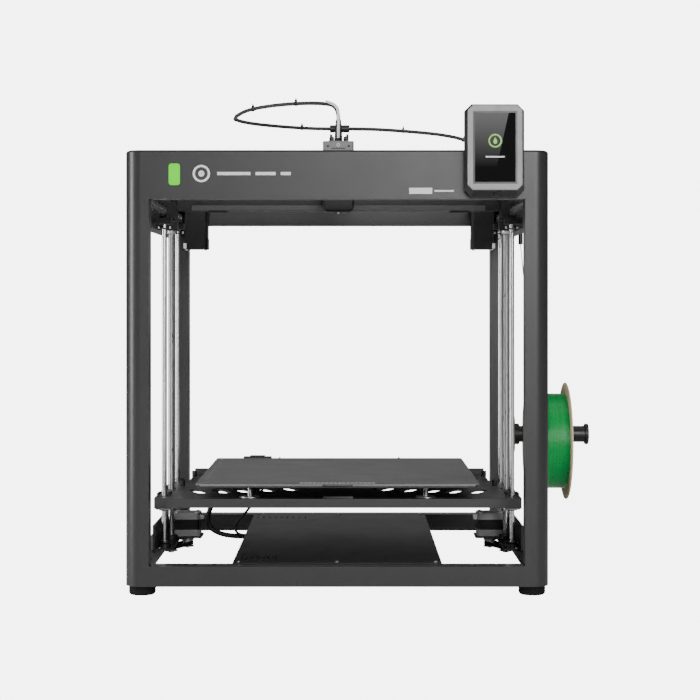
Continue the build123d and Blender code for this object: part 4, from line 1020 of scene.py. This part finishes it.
class PRINTER_OT_lead_screws(bpy.types.Operator):
    """Threaded lead screws with their collars and toothed pulleys"""
    bl_idname = "printer.lead_screws"
    bl_label = "Lead Screws"

    def execute(self, context):
        pitch = context.scene.printer_detail.thread_pitch
        for side, _ in SIDES:
            node, motor = f"lead_screw_{side}", f"z_pulley_{side}"
            low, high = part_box(node)
            centre, middle = middle_of(node), middle_of(motor)
            self.screw(node, centre, low.z, high.z, pitch)
            self.teeth(f"screw_pulley_teeth_{side}", node, centre, low.z)
            self.teeth(f"motor_pulley_teeth_{side}", motor, middle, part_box(motor)[0].z)
        return {"FINISHED"}

    def screw(self, node, centre, low, high, pitch):
        """The screw's solid again, with a rolled thread between pulley and collar."""
        start, end = low + 16 * MM, high - 16 * MM
        thread = ((THREAD_CORE, 0.0), (THREAD_CREST, 0.3), (THREAD_CREST, 0.62), (THREAD_CORE, 0.9))

        def build(work):
            shoulder = [(5, 0), (5, 2), (10.3, 2), (10.3, 3.5), (7.8, 3.5), (7.8, 12.5), (10.3, 12.5),
                        (10.3, 14), (5, 14), (4.4, 16)]
            add_turned(work, shoulder, (centre.x, centre.y, low), segments=40)
            collar = [(4.4, 0), (6.6, 0), (7, 0.4), (7, 9.6), (6.6, 10), (4, 10), (4, 16)]
            add_turned(work, collar, (centre.x, centre.y, end), segments=40)
            turns = [self.turn(work, centre, radius, start + (turn + share) * pitch, pitch, end)
                     for turn in range(int((end - start) / pitch)) for radius, share in thread]
            for lower, upper in zip(turns, turns[1:]):
                for k in range(THREAD_SIDES - 1):
                    work.faces.new((lower[k], lower[k + 1], upper[k + 1], upper[k]))
            step = len(thread)
            for row in range(len(turns) - step - 1):
                work.faces.new((turns[row][-1], turns[row + step][0], turns[row + step + 1][0],
                                turns[row + 1][-1]))
        piece = place(f"{node}_threaded", mesh_from(build, node), "screw steel", node, "polished_steel")
        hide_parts(node)

    def turn(self, work, centre, radius, height, pitch, end):
        """The points of one turn, which rises by a pitch and stops under the collar."""
        points = []
        for k in range(THREAD_SIDES):
            angle = 2 * math.pi * k / THREAD_SIDES
            rise = min(height + pitch * k / THREAD_SIDES, end)
            points.append(work.verts.new((centre.x + radius * math.cos(angle),
                                          centre.y + radius * math.sin(angle), rise)))
        return points

    def teeth(self, name, body, centre, low):
        """Teeth round a pulley's barrel, under its belt."""
        def build(work):
            for k in range(PULLEY_TEETH):
                turn = Matrix.Rotation(2 * math.pi * k / PULLEY_TEETH, 4, "Z")
                made = bmesh.new()
                add_bar(made, (7.75 * MM, 0, low + 8 * MM), (0.5, 1, 8.8), 0.15, 1)
                made.transform(Matrix.Translation((centre.x, centre.y, 0)) @ turn)
                mesh = bpy.data.meshes.new("tooth")
                made.to_mesh(mesh)
                made.free()
                work.from_mesh(mesh)
                bpy.data.meshes.remove(mesh)
        make(name, build, "aluminium", body, "aluminium", False)


class PRINTER_OT_front_marks(bpy.types.Operator):
    """A plain ring and bars on the front, the lens frame and the display's picture"""
    bl_idname = "printer.front_marks"
    bl_label = "Front Marks"

    def execute(self, context):
        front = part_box("top_front_panel")[0].y
        centre, tag = spot(-0.188, 0, 0.587), spot(0.116, 0, 0.563)

        def build(work):
            place_at = (centre.x, front - 0.1 * MM, centre.z)
            add_ring(work, place_at, "Y", *mm(9, 12, 0.5), 48)
            add_ring(work, place_at, "Y", *mm(0.6, 4.2, 0.5), 32)
            x = centre.x + 22 * MM
            for length in (46, 28, 14):
                self.bar(work, front, x + length / 2 * MM, centre.z, length, 4.4)
                x += (length + 7) * MM
        make("front_mark", build, "print", "frame", smooth=False)

        def build_tag(work):
            self.bar(work, front, tag.x, tag.z, 32, 8.4)
            self.bar(work, front, tag.x + 32.5 * MM, tag.z, 27, 2.4)
        make("front_tag", build_tag, "print", "frame", smooth=False)
        self.screen_mark()
        self.screen_frame()
        self.lens_frame(front)
        return {"FINISHED"}

    def bar(self, work, front, x, z, width, height):
        """A printed bar on the front panel, its size in millimetres."""
        add_bar(work, (x, front - 0.05 * MM, z), (width, 0.5, height), 0.2)

    def screen_mark(self):
        """A ring with a drop in it, and a bar under it."""
        middle = middle_of("display_glass")
        centre = Vector((middle.x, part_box("display_glass")[0].y - 0.12 * MM, middle.z + 9 * MM))

        def build(work):
            add_ring(work, centre, "Y", *mm(7.2, 9.4, 0.2), 48)
            add_turned(work, [(0.4, 4.6), (2.2, 0.6), (2.8, -1.8), (1.6, -3.8), (0.3, -4.4)], (0, 0, 0),
                       segments=24)
            for vertex in [v for v in work.verts if v.co.length < 20 * MM]:
                drop = vertex.co
                vertex.co = centre + Vector((drop.x, drop.y * DROP_FLATNESS, drop.z))
        make("screen_ring", build, "green", "frame")

        def build_bar(work):
            add_bar(work, centre - Vector((0, 0, 22 * MM)), (26, 0.2, 2), 0.1)
        make("screen_bar", build_bar, "print", "frame", smooth=False)

    def screen_frame(self):
        """The bevelled frame in which the glass sits."""
        low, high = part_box("display_glass")
        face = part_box("display_bezel")[0].y
        rim, lift = mm(2.6, 0.5)

        def build(work):
            inner = [(low.x, low.z), (high.x, low.z), (high.x, high.z), (low.x, high.z)]
            outer = [(low.x - rim, low.z - rim), (high.x + rim, low.z - rim),
                     (high.x + rim, high.z + rim), (low.x - rim, high.z + rim)]
            levels = [(outer, face + 0.3 * MM), (outer, face), (inner, face - lift), (inner, face + 0.6 * MM)]
            loops = [[work.verts.new((x, y, z)) for x, z in outline] for outline, y in levels]
            for first, second in zip(loops, loops[1:] + loops[:1]):
                for k in range(4):
                    work.faces.new((first[k], first[k - 1], second[k - 1], second[k]))
        make("screen_frame", build, "screen frame", "frame", smooth=False)

    def lens_frame(self, front):
        """A thin dark line round the status lens."""
        centre = middle_of("status_light")
        centre_at = Vector((centre.x, front - 0.075 * MM, centre.z))
        half_x, half_z = 8.2, 15.4

        def build(work):
            for sign in (-1, 1):
                for x, z, size in ((sign * half_x, 0, (0.7, 0.55, 2 * half_z - 6)),
                                   (0, sign * half_z, (2 * half_x - 6, 0.55, 0.7))):
                    add_bar(work, centre_at + Vector(mm(x, 0, z)), size, 0.1, 1)
        make("lens_frame", build, "black", "frame", smooth=False)


class PRINTER_OT_toolhead(bpy.types.Operator):
    """Ribs of the strain relief, tube fitting, clamps, seam and screws of the toolhead"""
    bl_idname = "printer.toolhead"
    bl_label = "Toolhead"

    def execute(self, context):
        ribs = context.scene.printer_detail.relief_ribs
        low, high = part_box("toolhead_cover")
        top, front, centre = high.z, low.y, (low + high) / 2
        rings("relief_ribs", "toolhead", "black", ribs, *mm(3.7, 5.7, 1.15), spot(0, -0.0145, top + 2.5 * MM),
              taper=0.038, around=36, slot="black_plastic")

        def build(work):
            add_turned(work, [(2.3, 0), (4.6, 0), (4.6, 3), (3.6, 4), (3.6, 6), (2.3, 6.6)],
                       spot(0, -0.024, top), closed=False)
        make("tube_fitting", build, "black", "toolhead", "black_plastic")

        def build_clamps(work):
            for x in mm(-10.5, 11.5):
                base = spot(x, -0.015, top)
                add_bar(work, (base.x, base.y, top + 2 * MM), (8.8, 10, 4), 1, 3)
                add_turned(work, [(1, -4.6), (3.4, -4.6), (3.9, -4), (3.9, 4), (3.4, 4.6), (1, 4.6)],
                           (base.x, base.y, top + 6 * MM), "Y")
        make("relief_clamps", build_clamps, "black", "toolhead", "black_plastic")

        def build_mark(work):
            add_ring(work, (centre.x, front - 0.05 * MM, top - 6 * MM), "Y", *mm(1.6, 2.6, 0.3), 24)
        make("cover_mark", build_mark, "print", "toolhead")

        def build_seam(work):
            z = low.z + DUCT_TOP
            add_bar(work, (centre.x, front - 0.025 * MM, z), ((high.x - low.x) / MM - 8, 0.45, 0.7), 0.1, 1)
            for k in range(5):
                add_bar(work, (centre.x, front + 0.05 * MM, z + (50.8 + 5 * k) * MM), (22, 0.5, 1.6), 0.3)
        make("cover_seam", build_seam, "black", "toolhead", smooth=False)
        spots = [((x, front, z), (0, -1, 0)) for x in (low.x + 8 * MM, high.x - 8 * MM)
                 for z in (low.z + 34 * MM, top - 8 * MM)]
        screws("cover_screws", "toolhead", spots, 1.7 * MM, 0.8 * MM, "black paint")
        return {"FINISHED"}


class PRINTER_OT_gantry(bpy.types.Operator):
    """Cross belts, their rollers, and the screws of the carriages and rails"""
    bl_idname = "printer.gantry"
    bl_label = "Gantry"

    def execute(self, context):
        low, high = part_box("x_beam")
        centre = (low + high) / 2
        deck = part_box("y_carriages")[1].z
        belt = deck + 7 * MM
        reach = (high.x - low.x) / 2 - 22 * MM

        def build_belts(work):
            for offset in mm(-6.5, 6.5):
                add_bar(work, (centre.x, centre.y + offset, belt), (2 * reach / MM, 1.4, 6), 0.1, 1)
        make("cross_belts", build_belts, "rubber", "gantry", "rubber", False)
        for number, offset in enumerate(mm(-5.6, 5.6)):
            bars(f"cross_belt_teeth_{number}", "gantry", "rubber", int(2 * reach / BELT_PITCH),
                 (centre.x - reach + 1 * MM, centre.y + offset, belt), (BELT_PITCH, 0, 0), mm(1, 0.5, 5.8),
                 "rubber")

        def build_rollers(work):
            for _, side in SIDES:
                add_turned(work, [(1.5, 0), (8.3, 0), (8.3, 1.4), (5.8, 1.6), (5.8, 11.6), (8.3, 11.8),
                                  (8.3, 13), (1.5, 13)],
                           (centre.x + side * reach, centre.y, deck), segments=40)
        make("belt_rollers", build_rollers, "aluminium", "gantry", "aluminium")
        spots = [((centre.x + side * reach + dx, centre.y + dy, deck), (0, 0, 1))
                 for _, side in SIDES for dx in mm(-14, 14) for dy in mm(-6, 6)]
        screws("carriage_screws", "gantry", spots)
        self.rail_screws()
        return {"FINISHED"}

    def rail_screws(self):
        low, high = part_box("y_rails")
        spots = [((x, low.y + (12 + k * 25) * MM, (low.z + high.z) / 2), (side, 0, 0))
                 for side, x in ((1, low.x + 8 * MM), (-1, high.x - 8 * MM)) for k in range(20)]
        screws("rail_screws", "frame", [s for s in spots if s[0][1] < high.y - 6 * MM], 2.2 * MM, 0.3 * MM)


class PRINTER_OT_bed(bpy.types.Operator):
    """Sheet marks, edge strip, levelling nuts, bushes, screws and the bed's terminal box"""
    bl_idname = "printer.bed"
    bl_label = "Bed"

    def execute(self, context):
        low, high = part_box("build_sheet")
        marks = high.z + 0.05 * MM
        start = (low.x + high.x) / 2 - 52 * MM
        bars("sheet_print", "bed", "print", 18, (start, low.y + 19 * MM, marks), mm(6.1, 0, 0),
             mm(4.9, 8, 0.1))
        bars("sheet_scale_left", "bed", "print", 9, (low.x + 10 * MM, low.y + 30 * MM, marks), mm(0, 44, 0),
             mm(5, 0.7, 0.1))
        self.edge_strip(low, high)
        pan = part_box("bed_carrier")[0].z + PAN_DEPTH
        self.knobs(pan)
        self.wing_screws(pan + 2 * MM)
        self.bushes()
        self.terminal(pan)
        return {"FINISHED"}

    def edge_strip(self, sheet_low, sheet):
        """A thin grey strip along the front of the sheet, the bare edge's own grey made lighter as a painted
        highlight, and the pins that locate the sheet.
        """
        low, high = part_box("heated_bed")
        middle = (low.x + high.x) / 2

        def build(work):
            y = low.y - 3 * MM
            half = (sheet.x - sheet_low.x) / 2
            for start, end in ((-half + 6 * MM, -22 * MM), (22 * MM, half - 6 * MM)):
                add_block(work, (middle + start, y - 0.25 * MM, sheet_low.z - 1.6 * MM),
                          (middle + end, y + 0.3 * MM, sheet.z - 0.3 * MM), 0.1 * MM, 1)
        # The strip's light grey is partly the bare edge's colour and partly a painted highlight.
        make("sheet_edge_painted_highlight", build, "edge grey and painted highlight", "bed", smooth=False)

        def build_pins(work):
            for x in (-0.1, 0.1):
                add_lathe(work, [(1.4 * MM, high.z - 2 * MM), (1.4 * MM, sheet.z + 1.6 * MM),
                                 (1.0 * MM, sheet.z + 2 * MM)], (middle + x, high.y + 4.6 * MM, 0), "Z", 20)
        make("sheet_pins", build_pins, "bright steel", "bed")

    def knobs(self, pan):
        """Levelling nuts on the posts."""
        def build(work):
            for x, y in corners("bed_posts", 6):
                add_turned(work, [(1.5, -6), (8, -6), (8.6, -5), (8.6, -2), (8, -1.2), (1.5, -1.2)],
                           (x, y, pan), segments=24)
        make("levelling_nuts", build, "black", "bed")

    def wing_screws(self, wing):
        """Screws that hold the bearing blocks, and the larger bolts of the wings."""
        low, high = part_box("bearing_blocks")
        near, far = mm(4, 20)
        spots = [((x, y, wing), (0, 0, 1)) for x in (low.x + near, low.x + far, high.x - near, high.x - far)
                 for y in (low.y + near, low.y + far, high.y - near, high.y - far)]
        screws("wing_screws", "bed", spots, 2.75 * MM, 3 * MM, "black paint")
        bolts = [((MIDDLE.x + side * x, MIDDLE.y + y, wing), (0, 0, 1)) for _, side in SIDES
                 for x, y in ((0.239, 0.148), (0.245, 0.005))]
        screws("carrier_bolts", "bed", bolts, 4.2 * MM, 10 * MM, "black")

    def bushes(self):
        """Flanged bushes and seals in the bearing blocks."""
        low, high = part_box("bearing_blocks")

        def build(work):
            for x, y in corners("guide_rods", ROD):
                for z in (low.z - 1 * MM, high.z + 1 * MM):
                    add_ring(work, (x, y, z), "Z", *mm(4.3, 8, 2))
        make("rod_seals", build, "black", "bed", "black_plastic")

    def terminal(self, pan):
        """A louvred terminal box at the front of the carrier."""
        x, front = MIDDLE.x + 1 * MM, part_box("bed_carrier")[0].y

        def build(work):
            add_bar(work, (x, front + 38 * MM, pan + 6 * MM), (44, 44, 12), 1.2)
        make("bed_terminal_box", build, "black", "bed")
        bars("bed_terminal_louvres", "bed", "pan paint", 4, (x, front + 15.6 * MM, pan + 2.4 * MM),
             mm(0, 0, 2.4), mm(38, 1.2, 1.1))


class PRINTER_OT_motors(bpy.types.Operator):
    """Connectors and through bolts of the four motors"""
    bl_idname = "printer.motors"
    bl_label = "Motors"

    def execute(self, context):
        low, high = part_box("stepper_motors")
        lower_z = low.z + 3 * MM
        upper_z = high.z - 3 * MM - UPPER_MOTOR
        lower = middle_of("z_pulley_left"), middle_of("z_pulley_right")
        upper = middle_of("xy_pulley_left"), middle_of("xy_pulley_right")

        def build(work):
            for c, (_, side) in zip(lower, reversed(SIDES)):
                x = c.x + side * (MOTOR_SIZE / 2 + 3 * MM)
                add_bar(work, (x, c.y - 9 * MM, lower_z + 30 * MM), (6, 16, 8), 0.8)
            for c, (_, side) in zip(upper, SIDES):
                x = c.x + side * (MOTOR_SIZE / 2 - 4.5 * MM)
                add_bar(work, (x, c.y - MOTOR_SIZE / 2 - 2.5 * MM, upper_z + 5.5 * MM), (5, 5, 9), 0.8)
        make("motor_connectors", build, "white", "frame")
        spots = [((c.x + dx, c.y + dy, z), (0, 0, way))
                 for motors, z, way in ((lower, lower_z + LOWER_MOTOR, 1), (upper, upper_z, -1))
                 for c in motors for dx in mm(-15.5, 15.5) for dy in mm(-15.5, 15.5)]
        screws("motor_bolts", "frame", spots, 2.6 * MM, 1.2 * MM)
        return {"FINISHED"}


class PRINTER_OT_frame_details(bpy.types.Operator):
    """Frame bolts, rod clips and collars, screws and board of the tray, and foot rings"""
    bl_idname = "printer.frame_details"
    bl_label = "Frame Details"

    def execute(self, context):
        self.bolts()
        self.rod_clips()
        self.tray()
        self.feet()
        return {"FINISHED"}

    def bolts(self):
        """Bolts on the outer sides of the panels and beams."""
        low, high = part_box("top_side_panels")
        beam = middle_of("bottom_side_beams").z
        spots = []
        for x, side in ((low.x, -1), (high.x, 1)):
            for y in (low.y + 12 * MM, high.y - 12 * MM):
                for z in (low.z + 18 * MM, high.z - 22 * MM, beam):
                    spots.append(((x, y, z), (side, 0, 0)))
        low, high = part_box("top_rear_panel")
        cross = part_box("bottom_cross_beams")[1]
        for x in (low.x + 12 * MM, high.x - 12 * MM):
            for z in (low.z + 16 * MM, high.z - 20 * MM):
                spots.append(((x, high.y, z), (0, 1, 0)))
            spots.append(((x, cross.y, middle_of("bottom_cross_beams").z), (0, 1, 0)))
        screws("frame_bolts", "frame", spots, 3.4 * MM, 1.8 * MM, "black paint")

    def rod_clips(self):
        """Bright clips beside each rod's holder and black collars under them."""
        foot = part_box("guide_rods")[0].z
        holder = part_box("top_corner_brackets")[0].z
        low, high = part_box("z_base_brackets")

        def build_collars(work):
            for x, y in corners("guide_rods", ROD):
                add_ring(work, (x, y, holder - 0.6 * MM), "Z", *mm(ROD, 6.4, 1.2))
                add_ring(work, (x, y, foot + 8 * MM), "Z", *mm(ROD, 7, 3.6))
        make("rod_collars", build_collars, "black", "frame", "black_plastic")

        def build_clips(work):
            for x, y in corners("guide_rods", ROD):
                for offset in mm(-8.5, 8.5):
                    add_bar(work, (x + offset, y, holder + 1.1 * MM), (2.8, 3, 3.8))
        make("rod_clips", build_clips, "bright steel", "frame")
        spots = [((x, y, low.z + 3 * MM), (0, 0, 1)) for x in (low.x + 7 * MM, high.x - 7 * MM)
                 for y in (low.y + 26 * MM, high.y - 34 * MM)]
        screws("base_screws", "frame", spots)

    def tray(self):
        """Screws of the electronics' cover, and the board seen through its slots."""
        low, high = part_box("electronics_cover")
        spots = [((x, y, high.z), (0, 0, 1)) for x in (low.x + 8 * MM, (low.x + high.x) / 2, high.x - 8 * MM)
                 for y in (low.y + 8 * MM, high.y - 8 * MM)]
        screws("cover_plate_screws", "frame", spots, 2.4 * MM, 1.2 * MM)
        board = spot(-0.112, -0.2315, low.z - 0.8 * MM)

        def build_board(work):
            add_bar(work, board - Vector((0, 0, 0.6 * MM)), (58, 34, 1.2), 0.2, 1)
        make("window_board", build_board, "board", "frame", "board_green", False)
        maker = random.Random(7)

        def build_chips(work):
            for row in (-8, 6):
                for k in range(-6, 7):
                    y = board.y + (row + maker.uniform(-2, 2)) * MM
                    add_bar(work, (board.x + k * 4.2 * MM, y, board.z + 0.3 * MM), (2, 4.8, 0.6), 0.1, 1)
        make("window_chips", build_chips, "print", "frame", smooth=False)

    def feet(self):
        """Grip rings round the rubber feet."""
        def build(work):
            for x, y in corners("feet", 18.5):
                for z in mm(5, 8.5):
                    add_ring(work, (x, y, z), "Z", *mm(18, 18.9, 1.4), 48)
        make("foot_rings", build, "rubber", "frame", "rubber")


OPERATORS = (
    PRINTER_OT_stage, PRINTER_OT_finishes, PRINTER_OT_cables, PRINTER_OT_spool, PRINTER_OT_lead_screws,
    PRINTER_OT_front_marks, PRINTER_OT_toolhead, PRINTER_OT_gantry, PRINTER_OT_bed, PRINTER_OT_motors,
    PRINTER_OT_frame_details,
)


class PRINTER_PT_panel(bpy.types.Panel):
    """Lists the printer's settings and pieces"""
    bl_label = "Filament Printer"
    bl_idname = "PRINTER_PT_panel"
    bl_space_type = "VIEW_3D"
    bl_region_type = "UI"
    bl_category = "Printer"

    def draw(self, context):
        for group in (getattr(context.scene, name) for name, _ in SETTINGS):
            for name in group.__annotations__:
                self.layout.prop(group, name)
        for operator in OPERATORS:
            self.layout.operator(operator.bl_idname)


SETTINGS = (("printer_stage", StageSettings), ("printer_finish", FinishSettings),
            ("printer_detail", DetailSettings))


def register():
    for _, group in SETTINGS:
        bpy.utils.register_class(group)
    for name, group in SETTINGS:
        setattr(bpy.types.Scene, name, PointerProperty(type=group))
    for kind in (*OPERATORS, PRINTER_PT_panel):
        bpy.utils.register_class(kind)


def unregister():
    for kind in reversed((*OPERATORS, PRINTER_PT_panel)):
        bpy.utils.unregister_class(kind)
    for name, group in SETTINGS:
        delattr(bpy.types.Scene, name)
        bpy.utils.unregister_class(group)


def main():
    register()
    for operator in OPERATORS:
        group, name = operator.bl_idname.split(".")
        getattr(getattr(bpy.ops, group), name)()


if __name__ == "__main__":
    main()
